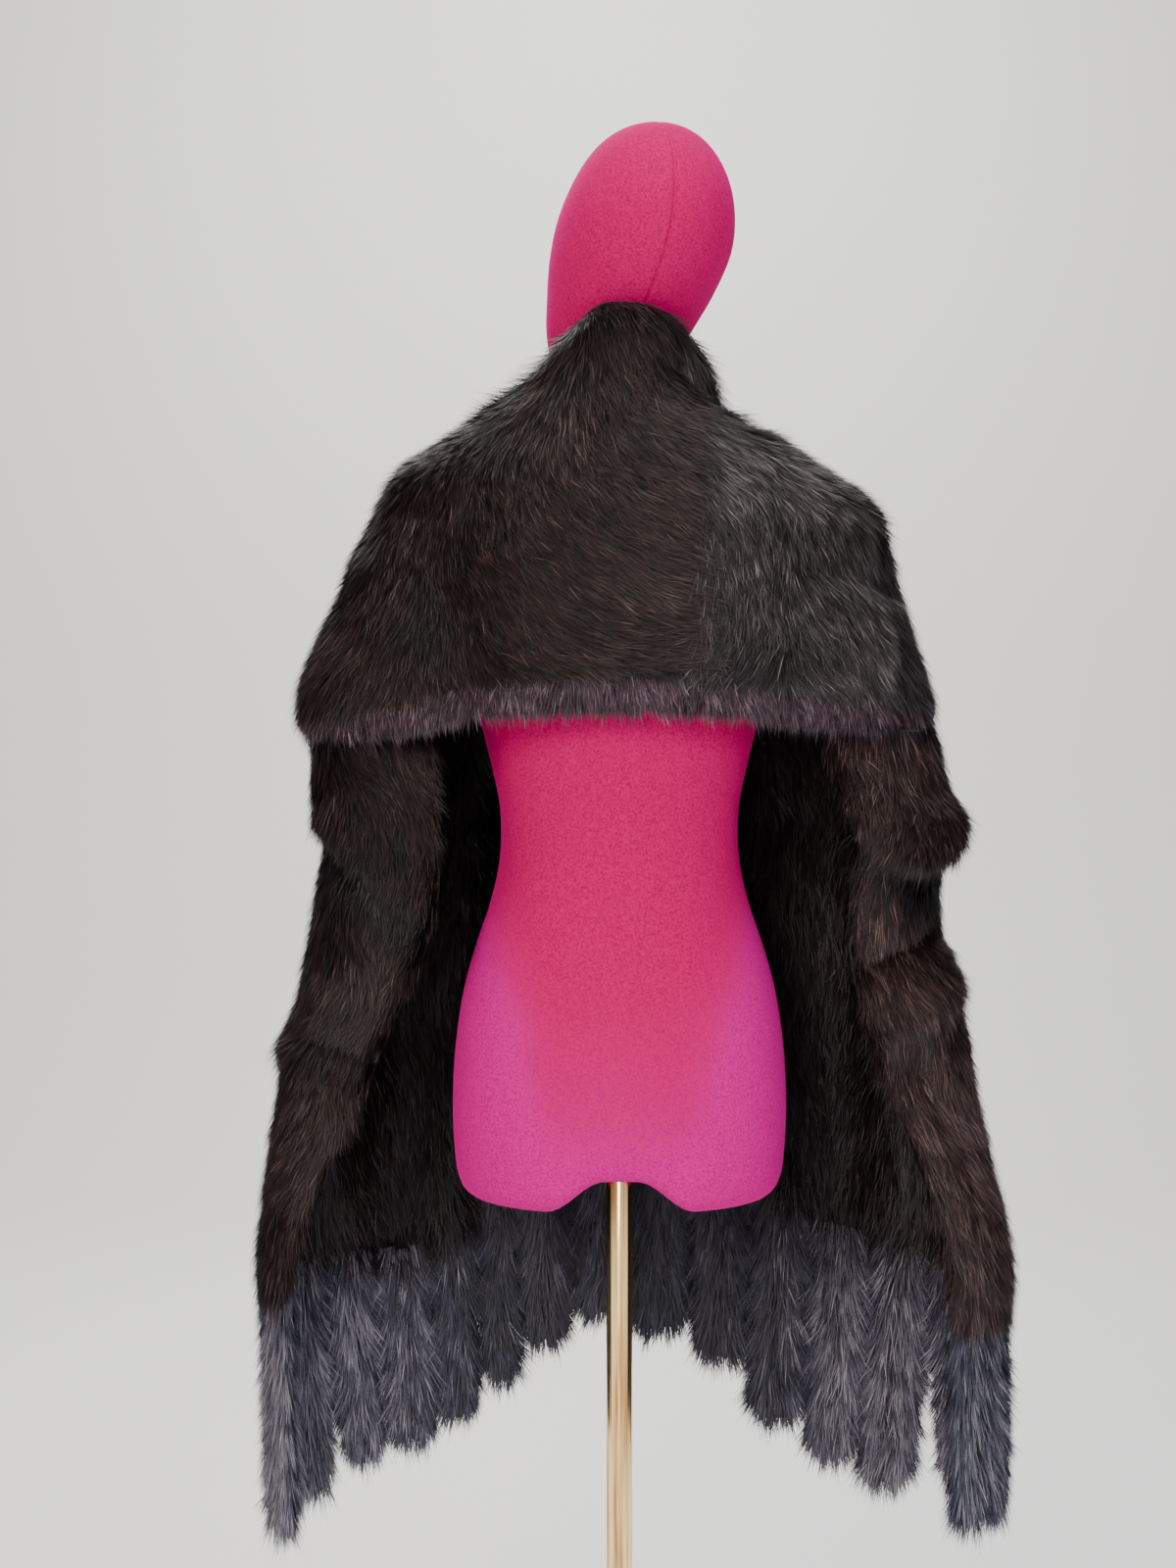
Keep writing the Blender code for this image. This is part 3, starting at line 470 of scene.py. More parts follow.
def cape_middle(angle: Array, z: Array, turned: bool) -> Array:
    """Middle of the wall: the outer reach sunk by half the wall, raised by the folds.

    Args:
        angle: Angles round the body.
        z: Heights.
        turned: Whether the piece is a turned-back side.

    Returns:
        The places.
    """
    reach = cape_reach(angle, z, turned)
    normal = outward(angle, z, turned, cape_reach)
    x = reach[..., 0]
    if turned:
        back = np.where(x > 0, fold_height(LEFT_TURN_FOLDS, x, z), fold_height(RIGHT_TURN_FOLDS, x, z))
    else:
        back = fold_height(BACK_FOLDS, x, z)
    height = np.where(np.cos(angle) >= 0, back, fold_height(FRONT_FOLDS, x, z))
    height = height * np.minimum(1, np.abs(np.cos(angle)) / 0.22)  # folds fade towards the sides
    return reach + normal * (height - PILE_WALL / 2)[..., None]


def back_seam_angle(z: Array) -> Array:
    """Angle of the back's upright seam, which leans in with the raised neck edge.

    Args:
        z: Heights.

    Returns:
        The angles.
    """
    x = np.where(z > SEAM_LEAN_FROM, BACK_SEAM_X + (z - SEAM_LEAN_FROM) * 0.25, BACK_SEAM_X)
    share = np.clip(np.abs(x) / by_side(CAPE, "", x > 0, z), 0, 0.97)
    return np.sign(x) * np.arcsin(share ** (RING_BACK / 2))


def turn_angle(z: Array, side: int) -> Array:
    """Angle of the free edge of a turned-back side.

    Args:
        z: Heights.
        side: 1 on the wearer's left, -1 on the right.

    Returns:
        The angles.
    """
    column = "left" if side > 0 else "right"
    share = through(TURNS, column + "_edge", z) / through(CAPE, column, z)
    return side * np.arcsin(np.clip(share, 0, 0.98) ** (RING_BACK / 2))


def opening_angle(side: int) -> float:
    """Angle of a front's free edge, counted from its own side."""
    return FRONT_OPENING if side > 0 else FRONT_OPENING - 2 * math.pi


def spot_between(first: Curve, last: float, low: Curve, high: Curve, start: float, rounds: int) -> Spot:
    """Mapping of a cloth from shares across and up to angle and height.

    Args:
        first: The angle at which the cloth starts, by height.
        last: The angle at which it ends.
        low: Its lower edge's height, by angle.
        high: Its upper edge's height, by angle.
        start: A height on the cloth.
        rounds: How often angle and height are found from each other.

    Returns:
        The mapping.
    """

    def spot(s: Array, t: Array) -> tuple[Array, Array]:
        """Angle and height at shares across (s) and up (t).

        Args:
            s: Shares across.
            t: Shares up.

        Returns:
            Angles and heights.
        """
        z = np.full(np.shape(s), start)
        for _ in range(rounds):
            begin = first(z)
            angle = begin + (last - begin) * s
            z = low(angle) + (high(angle) - low(angle)) * t
        return angle, z

    return spot


# ---------- finishes
HAIR_MAP = "OFBake"
TONES = 32  # columns of the hair map, one for each tone


def linear(hex_colour: str) -> tuple[float, float, float, float]:
    """Turns an sRGB hex colour into linear red, green, blue and an alpha of one.

    Args:
        hex_colour: The colour, as #rrggbb.

    Returns:
        The four numbers.
    """
    channels = [int(hex_colour[k : k + 2], 16) / 255 for k in (1, 3, 5)]
    curve = [c / 12.92 if c <= 0.04045 else ((c + 0.055) / 1.055) ** 2.4 for c in channels]
    return (*curve, 1.0)


class Graph:
    """The node graph of one material."""

    def __init__(self, name: str) -> None:
        """Starts a material with its shader and output.

        Args:
            name: The material's name.
        """
        self.material = bpy.data.materials.new(name)
        self.material.use_nodes = True
        self.tree = self.material.node_tree

    def fill(self, node: bpy.types.Node, inputs: dict[str | int, object]) -> None:
        """Links or sets each named or numbered input of a node.

        Args:
            node: The node.
            inputs: A socket or a value for each input.
        """
        for key, value in inputs.items():
            if isinstance(value, Socket):
                self.tree.links.new(value, node.inputs[key])
            else:
                node.inputs[key].default_value = value

    def add(self, kind: str, inputs: dict[str | int, object], out: str | int = 0, **settings: object) -> Socket:
        """Adds a node, and gives one of its outputs.

        Args:
            kind: The node's type, as it ends.
            inputs: A socket or a value for each input, by its name or number.
            out: The output to give, by its name or number.
            **settings: Attributes to set on the node.

        Returns:
            The output.
        """
        node = self.tree.nodes.new("ShaderNode" + kind)
        for key, value in settings.items():
            setattr(node, key, value)
        self.fill(node, inputs)
        return node.outputs[out]

    def place(self) -> Socket:
        """Places in the piece's own axes, in metres."""
        return self.add("TexCoord", {}, "Object")

    def raised(self, value: Socket, share: float, other: Socket) -> Socket:
        """A share of one value, added to another."""
        return self.add("Math", {0: value, 1: share, 2: other}, operation="MULTIPLY_ADD")

    def multiply(self, colour: Socket, other: Socket) -> Socket:
        """One colour times another."""
        return self.add("Mix", {0: 1.0, 6: colour, 7: other}, 2, data_type="RGBA", blend_type="MULTIPLY")

    def ramp(self, factor: Socket, *stops: tuple[float, str]) -> Socket:
        """Colours a factor through stops of place and hex colour.

        Args:
            factor: The factor.
            *stops: The stops, lowest first.

        Returns:
            The colour's socket.
        """
        colours = self.add("ValToRGB", {"Fac": factor})
        band = colours.node.color_ramp
        while len(band.elements) < len(stops):
            band.elements.new(0.5)
        for element, (place, colour) in zip(band.elements, stops):
            element.position = place
            element.color = linear(colour)
        return colours

    def finish(self, inputs: dict[str, object]) -> Material:
        """Sets or links the shader's own inputs, and gives the material."""
        self.fill(self.tree.nodes["Principled BSDF"], inputs)
        return self.material


@dataclass(frozen=True)
class HairFinish:
    """Modacrylic pile: fine dyed hair whose tone varies from hair to hair, painted darker towards the root as shade
    deep in the pile.
    """

    name: str
    tones: tuple[str, ...]
    # painted shade at a hair's root, deep in the pile
    root: str = "#3a3535"
    gloss: float = 0.38

    def material(self) -> Material:
        """The hair map's first number picks a hair's tone, and its second runs from root to tip, through painted
        shade that is darkest at the root.

        Returns:
            The material.
        """
        graph = Graph(self.name)
        axes = graph.add("SeparateXYZ", {"Vector": graph.add("UVMap", {}, uv_map=HAIR_MAP)}).node.outputs
        last = len(self.tones) - 1
        tone = graph.ramp(axes["X"], *((k / last, hue) for k, hue in enumerate(self.tones)))
        # painted shade: the hair darkens towards its root
        shade = graph.ramp(axes["Y"], (0.0, self.root), (0.55, "#c4bfbe"), (1.0, "#ffffff"))
        return graph.finish({"Base Color": graph.multiply(tone, shade), "Roughness": 0.46,
                             "Specular IOR Level": self.gloss})


@dataclass(frozen=True)
class ClothFinish:
    """Knitted backing under the pile: a dark matt jersey with short underfur, seen only between hairs."""

    name: str
    dark: str
    light: str
    grain: float = 0.0035

    def material(self) -> Material:
        """Mottles two dark tones at the width of a wisp.

        Returns:
            The material.
        """
        graph = Graph(self.name)
        spots = graph.add("TexNoise", {"Vector": graph.place(), "Scale": 1 / self.grain, "Detail": 3.0})
        bump = graph.add("Bump", {"Height": spots, "Strength": 0.6, "Distance": 0.001})
        colour = graph.ramp(spots, (0.35, self.dark), (0.7, self.light))
        return graph.finish({"Base Color": colour, "Roughness": 0.9, "Normal": bump})


@dataclass(frozen=True)
class VelvetFinish:
    """Polyester velvet stretched over a padded form: a deep matt crimson, turning to a hot pink on the hips
    and up the flanks, where the pink up the flanks is painted sheen, with a bright edge at grazing angles."""

    name: str
    deep: str
    mid: str
    pink_and_sheen: str
    pink_from: float  # height in metres where the pink begins, going down
    pink_to: float
    flank_sheen_rise: float = 0.30  # how much higher it begins at the flanks, as painted sheen
    cloud: float = 0.12  # how far that wanders in soft clouds, and from tuft to tuft
    tuft: float = 0.24

    def material(self) -> Material:
        """Blends deep to pink down the form and out to its sides, where the pink is painted sheen, and speckles it
        at the size of a tuft.

        Returns:
            The material.
        """
        graph = Graph(self.name)
        place = graph.place()
        axes = graph.add("SeparateXYZ", {"Vector": place}).node.outputs
        # painted sheen: towards the sides the pink begins higher up
        aside = graph.add("Math", {0: axes["X"]}, operation="ABSOLUTE")
        flank = graph.add("MapRange", {0: aside, 1: 0.05, 2: 0.18, 3: 0.0, 4: -self.flank_sheen_rise},
                          interpolation_type="SMOOTHSTEP")
        height = graph.add("Math", {0: axes["Z"], 1: flank}, operation="ADD")
        cloud = graph.add("TexNoise", {"Vector": place, "Scale": 7.0, "Detail": 9.0, "Roughness": 0.72})
        tufts = graph.add("TexNoise", {"Vector": place, "Scale": 480.0, "Detail": 2.0})
        speckle = graph.raised(tufts, self.tuft, graph.raised(cloud, self.cloud, height))
        middle = (self.cloud + self.tuft) / 2
        down = graph.add("MapRange", {0: speckle, 1: self.pink_from + middle, 2: self.pink_to + middle})
        colour = graph.ramp(down, (0.0, self.deep), (0.5, self.mid), (1.0, self.pink_and_sheen))
        speck = graph.ramp(tufts, (0.32, "#d6d0d2"), (0.62, "#ffffff"))
        bump = graph.add("Bump", {"Height": tufts, "Strength": 0.35, "Distance": 0.0006})
        return graph.finish({
            "Base Color": graph.multiply(colour, speck), "Roughness": 0.9, "Specular IOR Level": 0.03,
            "Sheen Weight": 0.26, "Sheen Roughness": 0.5, "Sheen Tint": linear("#ff1fa8"), "Normal": bump})


@dataclass(frozen=True)
class PlateFinish:
    """Gold-coloured plate on steel: a polished metal, worn in soft clouds on the base; on the tube, painted
    reflections in long upright streaks of pale and dark gold.
    """

    name: str
    bright: str
    dull: str
    roughness: float
    grain: tuple[float, float, float]  # how many marks a metre has along each axis

    def material(self) -> Material:
        """Darkens and roughens the plate in soft marks as long as its grain makes them: worn clouds on the base,
        painted reflections in upright streaks on the tube.

        Returns:
            The material.
        """
        graph = Graph(self.name)
        stretch = graph.add("Mapping", {"Vector": graph.place(), "Scale": self.grain})
        # worn clouds on the base, painted reflection streaks on the tube
        wear_and_reflection = graph.add("TexNoise", {"Vector": stretch, "Scale": 1.0, "Detail": 4.0})
        rough = graph.add("MapRange", {0: wear_and_reflection, 1: 0.3, 2: 0.8, 3: self.roughness, 4: self.roughness + 0.14})
        colour = graph.ramp(wear_and_reflection, (0.36, self.bright), (0.64, self.dull))
        return graph.finish({"Base Color": colour, "Metallic": 1.0, "Roughness": rough})


@dataclass(frozen=True)
class StageFinish:
    """Painted studio paper: plain, pale and matt."""

    name: str
    colour: str

    def material(self) -> Material:
        """One matt colour."""
        return Graph(self.name).finish({"Base Color": linear(self.colour), "Roughness": 0.95})


# ---------- meshes from arrays
def mesh_object(name: str, points: Array, faces: Array, material: Material, uv: Array | None = None) -> Object:
    """Makes one object of faces that all have the same number of corners.

    Args:
        name: The piece's name.
        points: Places of shape (count, 3).
        faces: Point numbers of shape (faces, corners).
        material: The finish.
        uv: The hair map's numbers for each corner, of shape (faces, corners, 2).

    Returns:
        The linked object, smooth-shaded.
    """
    mesh = bpy.data.meshes.new(name)
    total, corners = faces.shape
    mesh.vertices.add(len(points))
    mesh.vertices.foreach_set("co", points.astype(np.float32).ravel())
    mesh.loops.add(total * corners)
    mesh.loops.foreach_set("vertex_index", faces.astype(np.int32).ravel())
    mesh.polygons.add(total)
    mesh.polygons.foreach_set("loop_start", np.arange(0, total * corners, corners, dtype=np.int32))
    if uv is not None:
        mesh.uv_layers.new(name=HAIR_MAP).data.foreach_set("uv", uv.astype(np.float32).ravel())
    mesh.update(calc_edges=True)
    mesh.validate()
    mesh.shade_smooth()
    mesh.materials.append(material)
    obj = bpy.data.objects.new(name, mesh)
    bpy.context.scene.collection.objects.link(obj)
    return obj


def grid_faces(rows: int, columns: int, around: bool) -> Array:
    """Quads over a grid of points, row by row, closed round its columns when around is set.

    Args:
        rows: Rows of points.
        columns: Points in a row.
        around: Whether the last column joins the first.

    Returns:
        Point numbers of shape (faces, 4).
    """
    i, j = np.meshgrid(np.arange(rows - 1), np.arange(columns if around else columns - 1), indexing="ij")
    k = (j + 1) % columns
    quads = np.stack([i * columns + j, i * columns + k, (i + 1) * columns + k, (i + 1) * columns + j], -1)
    return quads.reshape(-1, 4)


def fan_faces(centre: int, ring: Array) -> Array:
    """Quads with a doubled corner that close a ring onto a centre point, turned with the ring."""
    after = np.roll(ring, -1)
    return np.stack([np.full_like(ring, centre), ring, after, after], -1)


def triangles_of(quads: Array) -> Array:
    """Two triangles for each quad, without those of no width.

    Args:
        quads: Point numbers of shape (faces, 4).

    Returns:
        Point numbers of shape (triangles, 3).
    """
    both = np.concatenate([quads[:, [0, 1, 2]], quads[:, [0, 2, 3]]])
    a, b, c = both.T
    return both[(a != b) & (b != c) & (a != c)]


def closed_tube(rings: Array) -> tuple[Array, Array]:
    """Points and triangles of a tube through rings of shape (rows, columns, 3), closed at both ends.

    The last ring may have shrunk to a point. Faces point outwards when rings turn anticlockwise seen from
    their last end.

    Args:
        rings: The rings' places.

    Returns:
        The points and the triangles.
    """
    rows, columns, _ = rings.shape
    points = rings.reshape(-1, 3)
    centres = np.stack([rings[0].mean(axis=0), rings[-1].mean(axis=0)])
    low = fan_faces(len(points), np.arange(columns)[::-1])
    high = fan_faces(len(points) + 1, np.arange(columns) + (rows - 1) * columns)
    quads = np.concatenate([grid_faces(rows, columns, True), low, high])
    return np.concatenate([points, centres]), triangles_of(quads)


def dress(node: str, slot: str, *pieces: Object) -> None:
    """Rides pieces on the frame's body, the first of them in place of a node's solid.

    Args:
        node: The node.
        slot: Not used.
        *pieces: The pieces.
    """
    for piece in pieces:
        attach(piece, "root")
        LOG.info("%s: %d triangles", piece.name, len(piece.data.polygons))
    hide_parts(node)


# ---------- the pile
@dataclass(frozen=True)
class Coat:
    """How a stretch of pile grows: hairs per square metre, and a hair's sizes in metres."""

    density: float = 1_150_000
    length: float = 0.029
    lift: float = 0.0135
    width: float = 0.0010
    stray: float = 6.5  # degrees that a hair strays from its wisp
    wisp: float = 0.0042
    draw: float = 0.6  # how far the tips of a wisp draw together
    guard: float = 0.10  # share of longer, paler guard hairs
    tuft: float = 0.014
    tuft_stray: float = 8.0
    tone: float = 0.5  # middle of the tones it draws from
    spread: float = 0.14

    @property
    def wisp_stray(self) -> float:
        """Degrees that a wisp strays from its tuft."""
        return self.tuft_stray * 0.6


LENGTHS, WISP_LENGTHS = (0.7, 1.15), (0.88, 1.12)  # of a hair and of a wisp, as shares of the coat's
LIFTS, WISP_LIFTS, TUFT_LIFTS = (0.35, 0.92), (0.72, 1.0), (0.84, 1.0)
WIDTHS = (0.6, 1.4)
GUARD_LONGER, GUARD_WIDER, GUARD_PALER = 0.15, 0.2, 0.14
ROLL = 0.34  # radians that a hair rolls about itself
BENDS = ((0.11, 8), (0.04, 5))  # the nap's slow bends: how long they are, and their degrees
PATCH, PATCH_TONE = 0.13, 0.05  # slow changes of tone: how long they are, and how strong
COMB_NEAR = 0.015  # comb marks nearer than this weigh about the same


class Lining(NamedTuple):
    """The pile on a cloth's inner face: hairs per square metre, and their tone, kept low as painted shade inside the
    cape.
    """

    density: float
    tone: float


@dataclass
class Roots:
    """Where hairs grow: places, outward directions, the way down the cloth, and the way along it."""

    place: Array
    normal: Array
    down: Array
    along: Array
    nap: Array  # radians from down towards along
    tone: Array  # added to the coat's tone; painted light and shade go in here

    @staticmethod
    def joined(parts: Sequence["Roots"]) -> "Roots":
        """All the roots of a pile together."""
        return Roots(*(np.concatenate(column) for column in zip(*(part.__dict__.values() for part in parts))))


class Gathering:
    """Hairs gathered into cells about so wide, with a smoothly bent cell grid so that no rows show."""

    def __init__(self, place: Array, size: float, seed: int) -> None:
        """Finds each hair's cell and its middle.

        Args:
            place: The hairs' roots.
            size: A cell's width.
            seed: Picks the bend.
        """
        bend = np.stack([smooth_noise(place, size * 4, seed + k) for k in range(3)], -1)
        cell = np.floor((place + bend * size * 0.6) / size).astype(np.int64)
        _, which, count = np.unique(cell, axis=0, return_inverse=True, return_counts=True)
        self.which = which.ravel()
        self.total = len(count)
        self.middle = np.stack([np.bincount(self.which, axis) for axis in place.T], -1) / count[:, None]

    def draw(self, rng: np.random.Generator, low: float, high: float) -> Array:
        """One even draw for each cell, given to all its hairs."""
        return rng.uniform(low, high, self.total)[self.which]

    def stray(self, rng: np.random.Generator, size: float) -> Array:
        """One normal draw for each cell, given to all its hairs."""
        return rng.normal(0, size, self.total)[self.which]


def swung(first: Array, second: Array, angle: Array) -> Array:
    """Directions swung by angles from a first one towards a second."""
    return first * np.cos(angle)[:, None] + second * np.sin(angle)[:, None]


def grow_hairs(name: str, roots: Roots, coat: Coat, material: Material, seed: int) -> Object:
    """Grows one tapered hair, a long triangle, from each root.

    A hair's tip lies its length away along the nap, raised by its lift, and drawn towards the middle of the
    wisp that it belongs to. Sizes vary from hair to hair, from wisp to wisp and from tuft to tuft.

    Args:
        name: The piece's name.
        roots: Where the hairs grow.
        coat: Their sizes.
        material: The hair finish.
        seed: Picks the random draws.

    Returns:
        The coat as one object.
    """
    rng = np.random.default_rng(seed)
    count = len(roots.place)
    wisps = Gathering(roots.place, coat.wisp, seed + 11)
    tufts = Gathering(roots.place, coat.tuft, seed + 21)
    wander = sum(smooth_noise(roots.place, size, seed + k) * degrees for k, (size, degrees) in enumerate(BENDS, 1))
    stray = rng.normal(0, coat.stray, count) + wisps.stray(rng, coat.wisp_stray)
    stray += tufts.stray(rng, coat.tuft_stray) + wander
    way = unit(swung(roots.down, roots.along, roots.nap + np.radians(stray)))
    guard = rng.random(count) < coat.guard
    length = coat.length * rng.uniform(*LENGTHS, count) * wisps.draw(rng, *WISP_LENGTHS) * (1 + GUARD_LONGER * guard)
    lift = coat.lift * rng.uniform(*LIFTS, count) * wisps.draw(rng, *WISP_LIFTS) * tufts.draw(rng, *TUFT_LIFTS)
    lift = np.where(guard, np.maximum(lift, coat.lift * 0.85) * 1.12, lift)
    flat = swung(unit(np.cross(way, roots.normal)), roots.normal, rng.normal(0, ROLL, count))
    half = flat * (coat.width * rng.uniform(*WIDTHS, count) * (1 + GUARD_WIDER * guard) / 2)[:, None]
    gather = wisps.middle[wisps.which] - roots.place
    gather -= roots.normal * (gather * roots.normal).sum(-1, keepdims=True)
    tip = roots.place + way * length[:, None] + roots.normal * lift[:, None] + gather * coat.draw
    points = np.stack([roots.place - half, roots.place + half, tip], axis=1).reshape(-1, 3)
    patch = smooth_noise(roots.place, PATCH, seed + 3) * PATCH_TONE
    tone = coat.tone + roots.tone + patch + rng.normal(0, coat.spread, count)
    tone += wisps.stray(rng, coat.spread * 1.1) + tufts.stray(rng, coat.spread * 0.3) + GUARD_PALER * guard
    column = np.clip(np.floor(tone * TONES), 0, TONES - 1) / TONES
    corners = zip((0.0, 1 / TONES, 0.5 / TONES), (0.0, 0.0, 1.0))  # both root corners, then the tip
    uv = np.stack([np.stack([column + across, np.full(count, up)], -1) for across, up in corners], axis=1)
    return mesh_object(name, points, np.arange(count * 3).reshape(-1, 3), material, uv)


# ---------- cloths
class Face(Enum):
    """The two faces of a cloth."""

    OUTER = 1
    INNER = -1


@dataclass
class Cloth:
    """One cloth of the cape: a mapping from shares across (s) and up (t) to angle and height.

    free names the edges, of s0, s1, t0 and t1, where nothing is sewn on and the pile turns outwards. Its
    inner pile has the outer coat's sizes.
    """

    name: str
    free: tuple[str, ...]
    spot: Spot
    comb: tuple[CombMark, ...]
    coat: Coat
    lining: Lining
    shades: tuple[ShadeMark, ...] = ()
    skin_grid: tuple[int, int] = (26, 30)
    edge_inset: float = EDGE_INSET
    turned: bool = False

    def inset(self) -> tuple[float, float, float, float]:
        """The shares s0, s1, t0 and t1 at which the skin stops.

        Returns:
            The four shares.
        """
        across, up = CUTS[self.name].size
        s0, s1, t0, t1 = ((self.edge_inset if edge in self.free else -SEAM_LAP) / size
                          for edge, size in (("s0", across), ("s1", across), ("t0", up), ("t1", up)))
        return s0, 1 - s1, t0, 1 - t1

    def net(self, columns: int, rows: int) -> tuple[Array, Array, Array, Array]:
        """Angles and heights over a grid within the skin's edges, and places and outward directions there.

        Args:
            columns: Points across.
            rows: Points up.

        Returns:
            The four arrays.
        """
        s0, s1, t0, t1 = self.inset()
        t, s = np.meshgrid(np.linspace(t0, t1, rows), np.linspace(s0, s1, columns), indexing="ij")
        angle, z = self.spot(s, t)
        return angle, z, cape_middle(angle, z, self.turned), outward(angle, z, self.turned, cape_middle)

    def skin(self, material: Material) -> Object:
        """The backing cloth as a thin closed shell: the middle surface moved half its thickness each way.

        Args:
            material: The backing's finish.

        Returns:
            The backing.
        """
        columns, rows = self.skin_grid
        angle, _, middle, normal = self.net(columns, rows)
        layers = np.concatenate([(middle + normal * SKIN / 2).reshape(-1, 3),
                                 (middle - normal * SKIN / 2).reshape(-1, 3)])
        outer = grid_faces(rows, columns, False)
        inner = outer[:, ::-1] + rows * columns
        index = np.arange(rows * columns).reshape(rows, columns)
        rim = np.concatenate([index[0, :-1], index[:-1, -1], index[-1, :0:-1], index[:0:-1, 0]])
        after = np.roll(rim, -1)
        side = np.stack([after, rim, rim + rows * columns, after + rows * columns], -1)
        quads = np.concatenate([outer, inner, side])
        if angle[0, -1] < angle[0, 0]:  # the grid's own turn points into the body
            quads = quads[:, ::-1]
        return mesh_object(f"{self.name}_backing", layers, triangles_of(quads), material)

    def nap_at(self, place: Array) -> Array:
        """The nap's angle: the comb marks' mean, each weighed by one over its distance cubed.

        Args:
            place: The roots' places.

        Returns:
            The angles, from down towards the wearer's left.
        """
        marks = np.array(self.comb)
        gap = (place[:, None, 0] - marks[None, :, 0]) ** 2 + (place[:, None, 2] - marks[None, :, 1]) ** 2
        weight = 1 / (gap + COMB_NEAR**2) ** 1.5
        turn = np.radians(marks[:, 2])
        return np.arctan2((weight * np.sin(turn)).sum(1), (weight * np.cos(turn)).sum(1))

    def roots(self, face: Face, density: float, rng: np.random.Generator) -> Roots:
        """Scatters roots evenly by area over one face, and turns them outwards near free edges.

        Args:
            face: The face that they grow on.
            density: How many a square metre has.
            rng: Gives the random draws.

        Returns:
            The roots.
        """
        s0, s1, t0, t1 = self.inset()
        width, height = CUTS[self.name].size
        columns, rows = 110, 90
        angle, z, net, facing = self.net(columns, rows)
        rising = unit(cape_middle(angle, z + HEIGHT_STEP, self.turned)
                      - cape_middle(angle, z - HEIGHT_STEP, self.turned))
        growing = np.sign(angle[0, -1] - angle[0, 0])
        corner = net[:-1, :-1]
        area = np.linalg.norm(np.cross(net[:-1, 1:] - corner, net[1:, :-1] - corner), axis=-1).ravel()
        total = int(area.sum() * density)
        share = (np.arange(total) + rng.random(total)) / total * area.sum()
        cell = np.minimum(np.searchsorted(np.cumsum(area), share), len(area) - 1)
        row, column = np.divmod(cell, columns - 1)
        over, aside = rng.random((2, total))

        def inside(field: Array) -> Array:
            """The mean of a cell's four corners for each root, weighed by their nearness.

            Args:
                field: A vector for each corner of the net.

            Returns:
                A vector for each root.
            """
            low, high = (field[row + k, column] * (1 - aside)[:, None]
                         + field[row + k, column + 1] * aside[:, None] for k in (0, 1))
            return low * (1 - over)[:, None] + high * over[:, None]

        middle, normal, up = inside(net), unit(inside(facing)), unit(inside(rising))
        t = t0 + (t1 - t0) * (row + over) / (rows - 1)
        s = s0 + (s1 - s0) * (column + aside) / (columns - 1)
        along = -unit(np.cross(normal, up))
        nap = self.nap_at(middle)
        normal = normal * face.value
        place = middle + normal * SKIN / 2 * 0.8  # just inside the skin
        down = -up
        for edge, distance, way in (
            ("s0", s * width, -along * growing), ("s1", (1 - s) * width, along * growing),
            ("t0", t * height, -up), ("t1", (1 - t) * height, up),
        ):
            if edge in self.free:
                bend = RIM_TURN * np.clip(1 - (distance - self.edge_inset) / RIM, 0, 1) ** 2
                normal = unit(swung(normal, way, bend))
        slope = (down * normal).sum(-1, keepdims=True)
        down = unit(down - normal * slope * 0.75)  # three quarters of the way back to the surface
        # painted light and shade: a bell of tone round each shade mark
        tone = sum((mark.tone * np.exp(-((place[:, 0] - mark.x) ** 2 + (place[:, 2] - mark.z) ** 2) / mark.size**2)
                    for mark in self.shades), np.zeros(total))
        return Roots(place, normal, down, unit(along), nap, tone)

    def build(self, skin: Material, hair: Material, seed: int) -> None:
        """Makes the backing and its pile, and puts them in place of the frame's solid.

        Args:
            skin: The backing's finish.
            hair: The pile's finish.
            seed: Picks the random draws.
        """
        rng = np.random.default_rng(seed)
        backing = self.skin(skin)
        outer = self.roots(Face.OUTER, self.coat.density, rng)
        inner = self.roots(Face.INNER, self.lining.density, rng)
        # painted shade: the lining's lower tone stands for the shade inside the cape
        inner.tone += self.lining.tone - self.coat.tone
        pile = grow_hairs(f"{self.name}_pile", Roots.joined([outer, inner]), self.coat, hair, seed + 50)
        dress(self.name, "faux_fur", backing, pile)


TIP_FROM, TIP_LENGTH = 0.84, 0.17  # shares of a tail's length over which its tip rounds off
SKIN_SHY, ROOTS_SHY = 0.006, 0.005  # how far the skin and the roots stay inside a tail's edges
TAIL_GIRTH = 2.25  # of its flat width
OVERLAP = 0.04  # the hairs start this share of the length above a tail's top
PARTING = math.radians(30)  # between the nap at a tail's edges and its middle line
HIDDEN_FROM, HIDDEN_FADE = 0.25, 0.14  # nearer than this to the middle, tails lie in the form's shade
# the edge and top tones are painted shade, at a tail's edges in the slits between tails and at its top under the hem
TAIL_TONE, HIDDEN_TONE, EDGE_SHADE_TONE, HEM_SHADE_TONE = 0.14, -0.62, -0.32, -0.20


